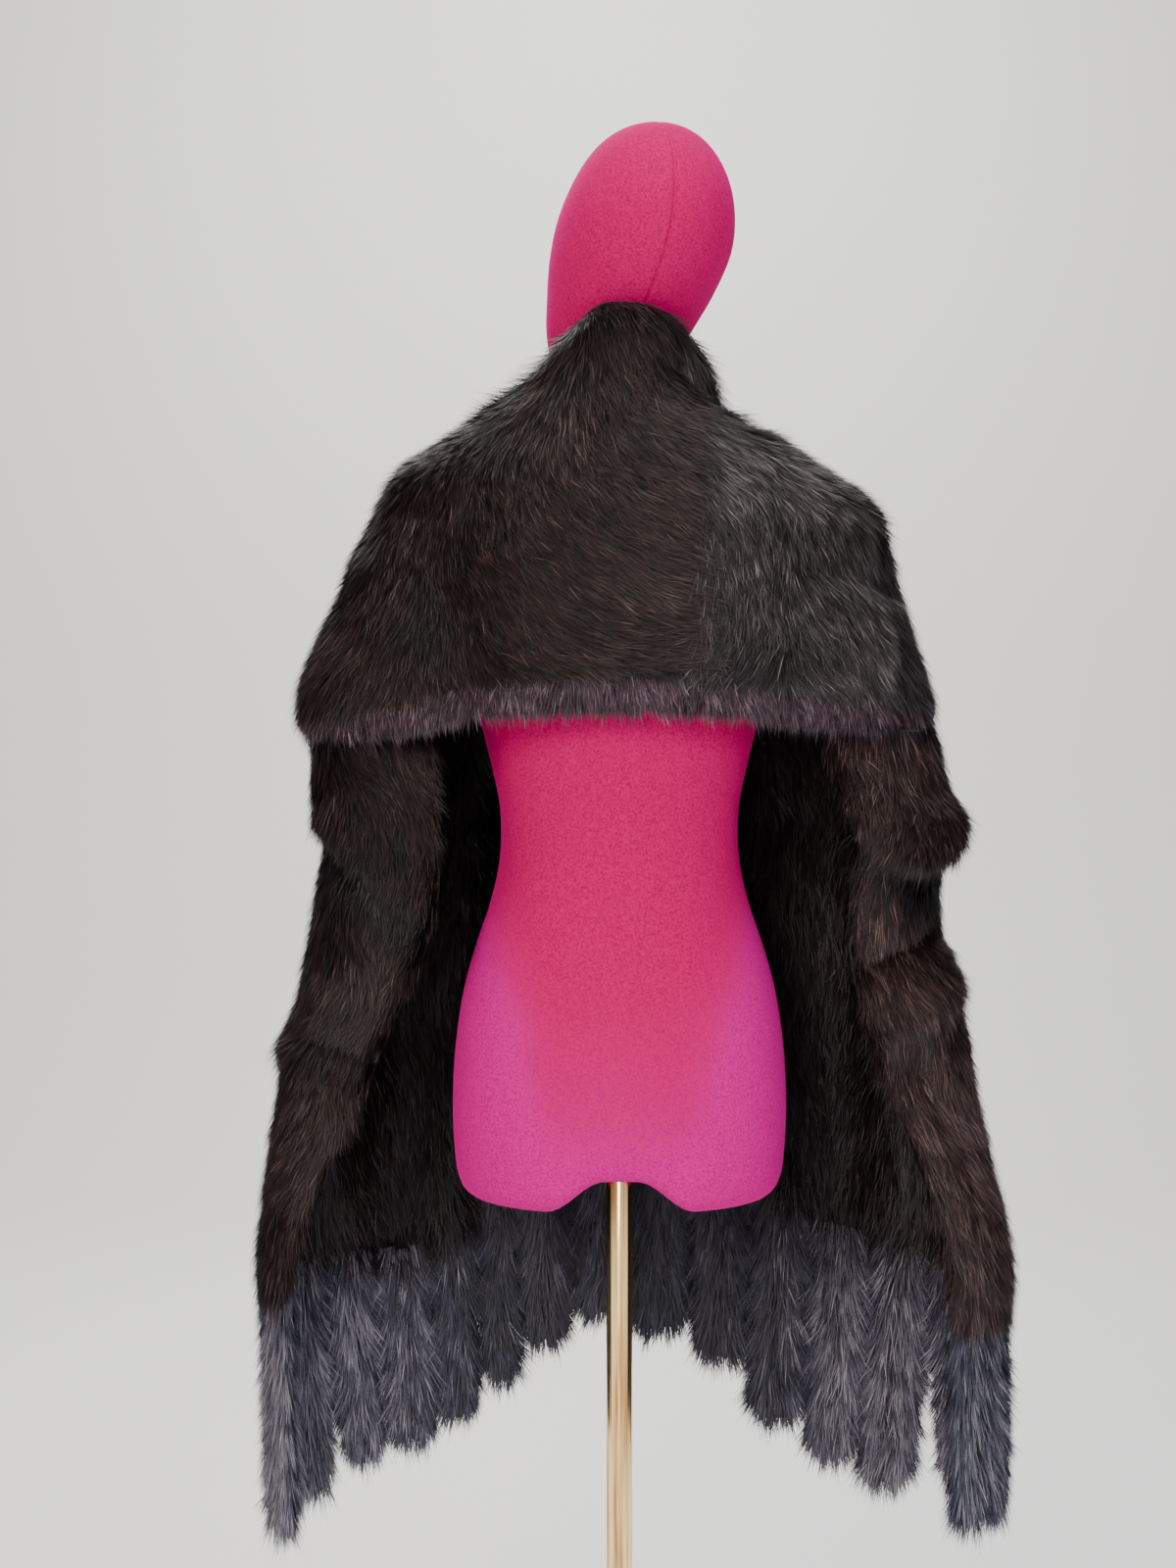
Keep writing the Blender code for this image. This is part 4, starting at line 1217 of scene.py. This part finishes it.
@dataclass
class Fringe:
    """The fringe of one side: a flat tail of fur under each stretch of the hem."""

    side: int
    node: str
    tails: tuple[TailSize, ...]
    coat: Coat
    outer_tone: float  # added to the tone of the two outer tails: painted light on the left, painted shade on the right

    def columns(self) -> tuple[Array, Array]:
        """Middle and outward direction of each tail's root, at its first and last edge.

        Returns:
            Two arrays of shape (tails, 2, 3).
        """
        side = self.side
        bottom = hem_height(np.array([side * SIDE]))[0]
        first = np.array([[turn_angle(bottom, side) + side * 0.05, side * SIDE]])
        fine = np.linspace(side * SIDE, opening_angle(side), 400)
        run = np.linalg.norm(np.diff(cape_reach(fine, hem_height(fine), False), axis=0), axis=1)
        run = np.concatenate([[0], np.cumsum(run)])
        places = np.interp(np.linspace(0, run[-1], len(self.tails)), run, fine)
        front = np.stack([places[:-1], places[1:]], axis=1)
        found = []
        for angle, is_turned in ((first, True), (front, False)):
            hem = hem_height(angle)
            middle = cape_middle(angle, hem, is_turned)
            middle[..., 2] = hem
            found.append((middle, unit(outward(angle, hem, is_turned, cape_middle) * (1, 1, 0))))
        middle, normal = (np.concatenate(parts) for parts in zip(*found))
        return middle, normal

    def line(self, index: int, down: Array) -> tuple[Array, Array, Array, Array]:
        """Centre line of a tail at shares down it, its level and outward directions, and its half width.

        Args:
            index: The tail's number, from the turned-back side on.
            down: Shares of its length.

        Returns:
            The four, the middle two as one vector each.
        """
        middle, normal = self.columns()
        tail = self.tails[index]
        first, last = middle[index]
        level = (last - first) * (1, 1, 0)
        half = np.linalg.norm(level) / 2
        level = level / (2 * half)
        out = unit(normal[index].sum(axis=0))
        drop = down[:, None] * np.array([0, 0, tail.length])
        along = np.maximum(down, 0)
        centre = (first + last) / 2 - drop + level * tail.swing * (along**1.5)[:, None]
        centre = centre + out * tail.out * (along**1.3)[:, None]
        round_tip = np.sqrt(np.clip(1 - np.clip((down - TIP_FROM) / TIP_LENGTH, 0, 1) ** 2.2, 0, 1))
        width = half * (1 - (1 - tail.width) * np.minimum(1, along * 3)) * round_tip
        return centre, level, out, width

    def slant(self, index: int, across: Array, down: Array) -> Array:
        """How far the hem's slope lifts the tail's top at a share across it. It fades down the tail.

        Args:
            index: The tail's number.
            across: Places from -1 to 1 across it.
            down: Shares of its length.

        Returns:
            Heights.
        """
        middle, _ = self.columns()
        rise = middle[index, 1, 2] - middle[index, 0, 2]
        return across / 2 * rise * np.clip(1 - down * 4, 0, 1)

    def tail_skin(self, index: int) -> tuple[Array, Array]:
        """A flat tube inside the tail: an ellipse carried down the tail's line.

        Args:
            index: The tail's number.

        Returns:
            Its points and triangles.
        """
        down = np.linspace(0.0, 1 - 0.5 * self.coat.length / self.tails[index].length, 14)
        centre, level, out, width = self.line(index, down)
        turn = np.linspace(0, 2 * math.pi, 12, endpoint=False)
        narrow = np.maximum(width - SKIN_SHY, 0.002)
        across = np.cos(turn)[None, :, None] * narrow[:, None, None] * level
        rings = centre[:, None, :] + across + np.sin(turn)[None, :, None] * TAIL_DEPTH * out
        rings[..., 2] += self.slant(index, np.cos(turn)[None, :], down[:, None])
        return closed_tube(rings[:, ::self.side])

    def tail_roots(self, index: int, rng: np.random.Generator) -> Roots:
        """Scatters roots round a tail. The nap runs down it, and parts a little from its middle line.

        Args:
            index: The tail's number.
            rng: Gives the random draws.

        Returns:
            The roots.
        """
        tail = self.tails[index]
        _, _, _, wide = self.line(index, np.array([0.3]))
        total = int(TAIL_GIRTH * 2 * wide[0] * tail.length * self.coat.density)
        turn = rng.random(total) * 2 * math.pi
        hang = 1 - 0.6 * self.coat.length / tail.length - 0.10 * np.abs(np.cos(turn)) ** 2.5
        down = rng.random(total) * (hang + OVERLAP) - OVERLAP
        centre, level, out, width = self.line(index, down)
        narrow = np.maximum(width - ROOTS_SHY, 0.001)
        across, deep = signed_power(np.cos(turn), 0.7), np.sin(turn)
        place = centre + level * (across * narrow)[:, None] + out * (deep * TAIL_DEPTH)[:, None]
        place[:, 2] += self.slant(index, across, down)
        normal = unit(level * (across**5 * 0.9)[:, None] + out * signed_power(deep, 0.4)[:, None])
        below = np.array([0.0, 0.0, -1.0])
        way = unit(below - normal * (normal @ below)[:, None] * 0.6)
        along = np.broadcast_to(level, place.shape)
        nap = across * PARTING * (1 - np.clip(down / hang, 0, 1) ** 3 * 0.7)
        # painted shade: in the form's shade near the middle, in the slits at a tail's edges, and under the hem at
        # its top
        hidden = np.clip((HIDDEN_FROM - np.abs(place[:, 0])) / HIDDEN_FADE, 0, 1)
        top = np.clip(1 - down * 3, 0, 1)
        tone = TAIL_TONE + HIDDEN_TONE * hidden + EDGE_SHADE_TONE * np.abs(across) ** 5 + HEM_SHADE_TONE * top
        return Roots(place, normal, way, along, nap, tone + (self.outer_tone if index < 2 else 0))

    def build(self, skin: Material, hair: Material, seed: int) -> None:
        """Makes the tails' backings as one piece and their pile as another.

        Args:
            skin: The backing's finish.
            hair: The pile's finish.
            seed: Picks the random draws.
        """
        rng = np.random.default_rng(seed)
        tails = range(len(self.tails))
        tubes = [self.tail_skin(index) for index in tails]
        points = np.concatenate([tube for tube, _ in tubes])
        before = np.cumsum([0] + [len(tube) for tube, _ in tubes])
        faces = np.concatenate([triangles + count for (_, triangles), count in zip(tubes, before)])
        backing = mesh_object(f"{self.node}_backing", points, faces, skin)
        roots = Roots.joined([self.tail_roots(index, rng) for index in tails])
        dress(self.node, "fur_tails", backing, grow_hairs(f"{self.node}_pile", roots, self.coat, hair, seed + 50))


# ---------- the whole cape
@dataclass
class Cape:
    """The cape: its cloths and fringes with their coats."""

    brown: HairFinish = HairFinish(
        "faux_fur_brown", ("#070303", "#120708", "#200f10", "#301b1b", "#482f2e", "#78645f"), gloss=0.26)
    grey: HairFinish = HairFinish(
        "faux_fur_grey", ("#090707", "#151111", "#262020", "#393231", "#554e4d", "#8f8887"), gloss=0.34)
    mauve: HairFinish = HairFinish(
        "faux_fur_mauve_grey", ("#0c0508", "#1b0f15", "#33202b", "#4b333f", "#684d5a", "#968490"))
    blue: HairFinish = HairFinish(
        "faux_fur_blue_grey", ("#0a0a13", "#161728", "#2a2b40", "#47475a", "#6d6c7b", "#a8a6b0"))
    backing: ClothFinish = ClothFinish("pile_backing_jersey", "#070505", "#1a1313")

    def cloths(self, side: int, name: str) -> list[tuple[Cloth, HairFinish]]:
        """The cloths of one side with their finishes: half of the back, half of the band, a front, and the side
        where the front folds round towards the back.

        Args:
            side: 1 on the wearer's left, -1 on the right.
            name: That side's name.

        Returns:
            The pairs, in the order in which they are made.
        """
        left, flank = side > 0, side * SIDE
        back = Cloth(
            f"back_{name}", ("t1",), spot_between(back_seam_angle, flank, band_top, neck_height, 1.35, 4),
            BACK_LEFT_COMB if left else BACK_RIGHT_COMB, Coat(tone=0.28 if left else 0.37), Lining(70_000, 0.1),
            BACK_LEFT_SHADES if left else BACK_RIGHT_SHADES)
        band = Cloth(
            f"hem_band_{name}", ("t0",), spot_between(back_seam_angle, flank, back_edge, band_top, 1.35, 4),
            BAND_COMB, Coat(density=1_500_000, length=0.021, tone=0.43, tuft_stray=6.0), Lining(400_000, 0.2),
            skin_grid=(26, 6))
        front = Cloth(
            f"front_{name}", ("s1", "t1"),
            spot_between(lambda z: flank, opening_angle(side), hem_height, neck_height, 1.35, 1), FRONT_COMB,
            Coat(density=350_000, tone=0.38, length=0.032, width=0.0014), Lining(160_000, 0.12),
            skin_grid=(34, 34), edge_inset=0.0012)
        turn = Cloth(
            f"side_{name}", ("s0",), spot_between(lambda z: turn_angle(z, side), flank, hem_height,
                                                  lambda angle: back_edge(angle) - TURN_DROP, 0.9, 6),
            SIDE_LEFT_COMB if left else SIDE_RIGHT_COMB, Coat(density=1_100_000, tone=0.28 if left else 0.46),
            Lining(110_000, 0.1), SIDE_LEFT_SHADES if left else SIDE_RIGHT_SHADES, (20, 40), turned=True)
        back_pile = self.brown if left else self.grey
        return [(back, back_pile), (band, self.mauve), (front, self.brown), (turn, self.brown)]

    def build(self) -> None:
        """Makes every cloth and both fringes."""
        backing = self.backing.material()
        hairs = {finish.name: finish.material() for finish in (self.brown, self.grey, self.mauve, self.blue)}
        for number, (cloth, finish) in enumerate(self.cloths(1, "left") + self.cloths(-1, "right")):
            cloth.build(backing, hairs[finish.name], 100 + 10 * number)
        coat = Coat(density=340_000, tone=0.55, length=0.030, lift=0.0110, width=0.0012, tuft_stray=6.0, spread=0.17)
        # outer tails: painted light on the left side, painted shade on the right
        for side, name, tails, outer in ((1, "left", LEFT_TAILS, 0.12), (-1, "right", RIGHT_TAILS, -0.10)):
            Fringe(side, f"fringe_{name}", tails, coat, outer).build(backing, hairs[self.blue.name], 300 + side)


# ---------- the dress form and its stand
def along_rows(rows: Sequence[NamedTuple], count: int, size_column: int) -> dict[str, Array]:
    """Reads every column of a table at places equally far apart along its outline.

    Args:
        rows: The table, whose first column is the height.
        count: How many places.
        size_column: The column that, with the height, draws the outline.

    Returns:
        The values by column name, each of shape (count, 1).
    """
    values = np.array(rows)
    steps = np.hypot(np.diff(values[:, 0]), np.diff(values[:, size_column]))
    run = np.concatenate([[0], np.cumsum(steps)])
    fine = np.linspace(0, run[-1], count)
    return {column: through([Edge(*mark) for mark in zip(run, values[:, k])], "z", fine)[:, None]
            for k, column in enumerate(rows[0]._fields)}


@dataclass
class DressForm:
    """The limbless form: a torso with a groove between its two lobes, and an egg-shaped head."""

    sides: int = 108
    torso_rows: int = 120
    head_rows: int = 70
    seam_turn: float = math.radians(17)  # the head's seam runs up its back
    seam_depth: float = 0.0024
    seam_half: float = 0.0020
    velvet: VelvetFinish = VelvetFinish("magenta_velvet", "#aa0050", "#b2005a", "#b80076", 0.92, 0.77)

    @staticmethod
    def notch(x: Array) -> Array:
        """Height of the groove: flat over the pole, then a cosine squared fall to either side."""
        fall = (np.abs(x) - NOTCH_FLAT) / (NOTCH_REACH - NOTCH_FLAT)
        return NOTCH_HEIGHT * np.cos(np.clip(fall, 0, 1) * math.pi / 2) ** 2

    def torso(self, material: Material) -> Object:
        """Superellipse rings up the torso, over rings that close its underside.

        Args:
            material: The velvet.

        Returns:
            The torso.
        """
        turn = np.linspace(0, 2 * math.pi, self.sides, endpoint=False)
        sine, cosine = signed_power(np.sin(turn), TORSO_POWER), signed_power(np.cos(turn), TORSO_POWER)
        lowest = TORSO[0]
        shares = np.array([0.002, 0.07, 0.14, 0.24, 0.34, 0.46, 0.58, 0.70, 0.80, 0.88, 0.945, 0.985])[:, None]
        x = shares * lowest.half * sine
        y = shares * np.where(cosine > 0, lowest.back, lowest.front) * cosine
        rise = (lowest.z - FORM_BOTTOM) * np.clip((shares - 0.88) / 0.12, 0, 1) ** 2  # the rim rounds up
        under = np.stack([x, y, FORM_BOTTOM + rise + self.notch(x)], -1)
        rows = along_rows(TORSO, self.torso_rows, 1)
        x = rows["half"] * sine
        y = np.where(cosine > 0, rows["back"], rows["front"]) * cosine
        z = rows["z"]
        z = z + self.notch(x) * np.clip((FORM_BOTTOM + NOTCH_FADE - z) / NOTCH_FADE, 0, 1)
        rings = np.concatenate([under, np.stack([x, y, z], -1)])
        return mesh_object("form_torso_velvet", *closed_tube(rings[:, ::-1]), material)

    def head(self, material: Material) -> Object:
        """Elliptical rings up the head, turned to the wearer's left, with a sewn seam sunk up its back.

        Args:
            material: The velvet.

        Returns:
            The head.
        """
        share = np.linspace(-1, 1, self.sides, endpoint=False)
        turn = self.seam_turn + math.pi * (0.16 * share + 0.84 * share**3)  # columns crowd at the seam
        rows = along_rows(HEAD, self.head_rows, 3)
        across = rows["across"] * np.sin(turn)
        along = rows["along"] * np.cos(turn)
        size = np.hypot(across, along)
        off_seam = (turn - self.seam_turn) * size
        sunk = self.seam_depth * np.exp(-((off_seam / self.seam_half) ** 2))
        keep = 1 - sunk / np.maximum(size, 0.01)
        across, along = across * keep, along * keep
        x = rows["x"] + across * math.cos(HEAD_TURN) - along * math.sin(HEAD_TURN)
        y = rows["y"] + across * math.sin(HEAD_TURN) + along * math.cos(HEAD_TURN)
        rings = np.stack([x, y, np.broadcast_to(rows["z"], x.shape)], -1)
        return mesh_object("form_head_velvet", *closed_tube(rings[:, ::-1]), material)

    def build(self) -> None:
        """Makes both pieces in place of the frame's."""
        velvet = self.velvet.material()
        dress("form_torso", "velvet", self.torso(velvet))
        dress("form_head", "velvet", self.head(velvet))


@dataclass
class Stand:
    """The pole and the round base, turned from their outlines."""

    sides: int = 96
    pole_radius: float = 0.0125
    base_radius: float = 0.165
    fit: float = 0.0004  # play round the pole's foot and over its top
    # painted reflections: upright streaks of pale and dark gold down the tube
    tube: PlateFinish = PlateFinish("gold_plated_tube", "#ffe0a0", "#9a6020", 0.09, (160.0, 160.0, 5.0))
    plate: PlateFinish = PlateFinish("gold_plated_base", "#efc983", "#dfb26a", 0.15, (9.0, 9.0, 9.0))

    def lathed(self, name: str, outline: Sequence[tuple[float, float]], finish: PlateFinish) -> Object:
        """Carries an outline of radius and height round the pole's axis.

        Args:
            name: The piece's name.
            outline: Radii and heights.
            finish: Its finish.

        Returns:
            The piece.
        """
        radius, height = np.array(outline).T[:, :, None]
        turn = np.linspace(0, 2 * math.pi, self.sides, endpoint=False)
        x = radius * np.cos(turn)
        rings = np.stack([x, radius * np.sin(turn), np.broadcast_to(height, x.shape)], -1)
        piece = mesh_object(name, *closed_tube(rings), finish.material())
        piece.data.set_sharp_from_angle(angle=math.radians(34))
        return piece

    def base(self) -> Object:
        """A low disc with a rounded rim, rising to a socket collar.

        Returns:
            The base.
        """
        rim, bore = self.base_radius, self.pole_radius + self.fit
        rounded = [(rim - 0.003 + 0.003 * math.sin(a), 0.007 + 0.003 * math.cos(a) - 0.0001)
                   for a in np.linspace(SIDE, 0, 7)]
        outline = [(rim - 0.002, 0.0), (rim, 0.002), *rounded, (0.110, 0.0128), (0.060, 0.0160),
                   (0.034, 0.0200), (0.027, 0.0250), (0.024, 0.0300), (0.0222, 0.0460), (0.0218, 0.0560),
                   (0.0232, 0.0575), (0.0232, 0.0610), (0.0218, 0.0625), (0.0205, 0.0645), (0.0185, 0.0650),
                   (bore, 0.0650), (bore, 0.0120)]
        return self.lathed("base_plate_gold", outline, self.plate)

    def pole(self) -> Object:
        """A tube with broken edges, from the socket up into the form's groove.

        Returns:
            The pole.
        """
        radius, foot, top = self.pole_radius, 0.0124, FORM_BOTTOM + NOTCH_HEIGHT - self.fit
        outline = [(radius - 0.001, foot), (radius, foot + 0.001), (radius, 0.20), (radius, 0.45),
                   (radius, top - 0.0008), (radius - 0.0008, top)]
        return self.lathed("pole_gold", outline, self.tube)

    def build(self) -> None:
        """Makes both pieces in place of the frame's."""
        dress("stand_base", "gold_plate", self.base())
        dress("stand_pole", "gold_plate", self.pole())


# ---------- studio
class Lamp(NamedTuple):
    """A square soft light: its place, what it is turned to, its side, its power in watts and its colour."""

    name: str
    place: tuple[float, float, float]
    target: tuple[float, float, float]
    size: float
    power: float
    colour: str


@dataclass
class Studio:
    """A pale floor that curves up behind, soft lights, and the photograph's camera."""

    distance: float = 2.0  # camera to the pole's axis
    eye_height: float = 1.118
    eye_side: float = 0.0304
    frame_height: float = 1.52  # what the frame shows at the pole's axis
    paper: StageFinish = StageFinish("pale_studio_paper", "#e4e2df")
    lamps: tuple[Lamp, ...] = (
        Lamp("key", (1.5, 2.9, 2.6), (0, 0, 1.15), 1.6, 125, "#fff6ee"),
        Lamp("fill", (-2.4, 2.4, 1.6), (0, 0, 1.0), 1.8, 72, "#eef2ff"),
        Lamp("low", (0.3, 2.6, 0.6), (0, 0, 0.8), 0.9, 30, "#fff4fa"),
        Lamp("top", (0.0, 0.3, 3.4), (0, 0, 1.3), 1.5, 60, "#ffffff"),
        Lamp("front", (0.6, -1.9, 3.2), (0, 0, 1.1), 1.2, 60, "#ffffff"),
        Lamp("wall", (0.0, -2.2, 4.2), (0, -5.0, 1.4), 2.5, 190, "#ffffff"),
    )

    def floor(self) -> None:
        """A level floor that bends up into a wall in front of the form."""
        wall, bend = -5.0, 1.6  # where the wall stands, and the bend's radius
        curve = [(wall + bend * (1 - math.sin(a)), bend * (1 - math.cos(a))) for a in np.linspace(0, SIDE, 16)]
        y, z = np.array([(8.0, 0.0), *curve, (wall, 7.0)]).T
        x = np.array([-9.0, 9.0])
        points = np.stack([np.tile(x, len(y)), np.repeat(y, 2), np.repeat(z, 2)], -1)
        mesh_object("studio_floor", points, grid_faces(len(y), 2, False), self.paper.material())

    @staticmethod
    def hang(lamp: Lamp) -> None:
        """Puts a lamp at its place, turned to its target.

        Args:
            lamp: The lamp.
        """
        light = bpy.data.lights.new(lamp.name, "AREA")
        light.size = lamp.size
        light.energy = lamp.power
        light.color = linear(lamp.colour)[:3]
        obj = bpy.data.objects.new(lamp.name, light)
        x, y, z = np.array(lamp.place) - np.array(lamp.target)
        obj.location = lamp.place
        obj.rotation_euler = (math.atan2(math.hypot(x, y), z), 0, math.atan2(x, -y))
        bpy.context.scene.collection.objects.link(obj)

    def sky(self) -> None:
        """An even, dim and slightly blue sky."""
        world = bpy.data.worlds.new("pale_room")
        world.use_nodes = True
        sky = world.node_tree.nodes["Background"]
        sky.inputs["Color"].default_value = linear("#dfe3e8")
        sky.inputs["Strength"].default_value = 0.42
        bpy.context.scene.world = world

    def camera(self) -> None:
        """The camera behind the form, level and square to it."""
        lens = bpy.data.cameras.new("camera")
        lens.sensor_fit = "VERTICAL"
        lens.sensor_height = 24.0
        lens.lens = lens.sensor_height * self.distance / self.frame_height
        eye = bpy.data.objects.new("camera", lens)
        eye.location = (self.eye_side, self.distance, self.eye_height)
        eye.rotation_euler = (SIDE, 0, math.pi)
        bpy.context.scene.collection.objects.link(eye)
        bpy.context.scene.camera = eye

    def build(self) -> None:
        """Sets the floor, the lights, the sky and the camera."""
        self.floor()
        for lamp in self.lamps:
            self.hang(lamp)
        self.sky()
        self.camera()


def main() -> None:
    """Builds the studio, the form, the stand and the cape round the frame."""
    logging.basicConfig(level=logging.INFO, format="%(name)s: %(message)s")
    for obj in list(bpy.data.objects):
        bpy.data.objects.remove(obj, do_unlink=True)
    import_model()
    Studio().build()
    DressForm().build()
    Stand().build()
    Cape().build()


if __name__ == "__main__":
    main()
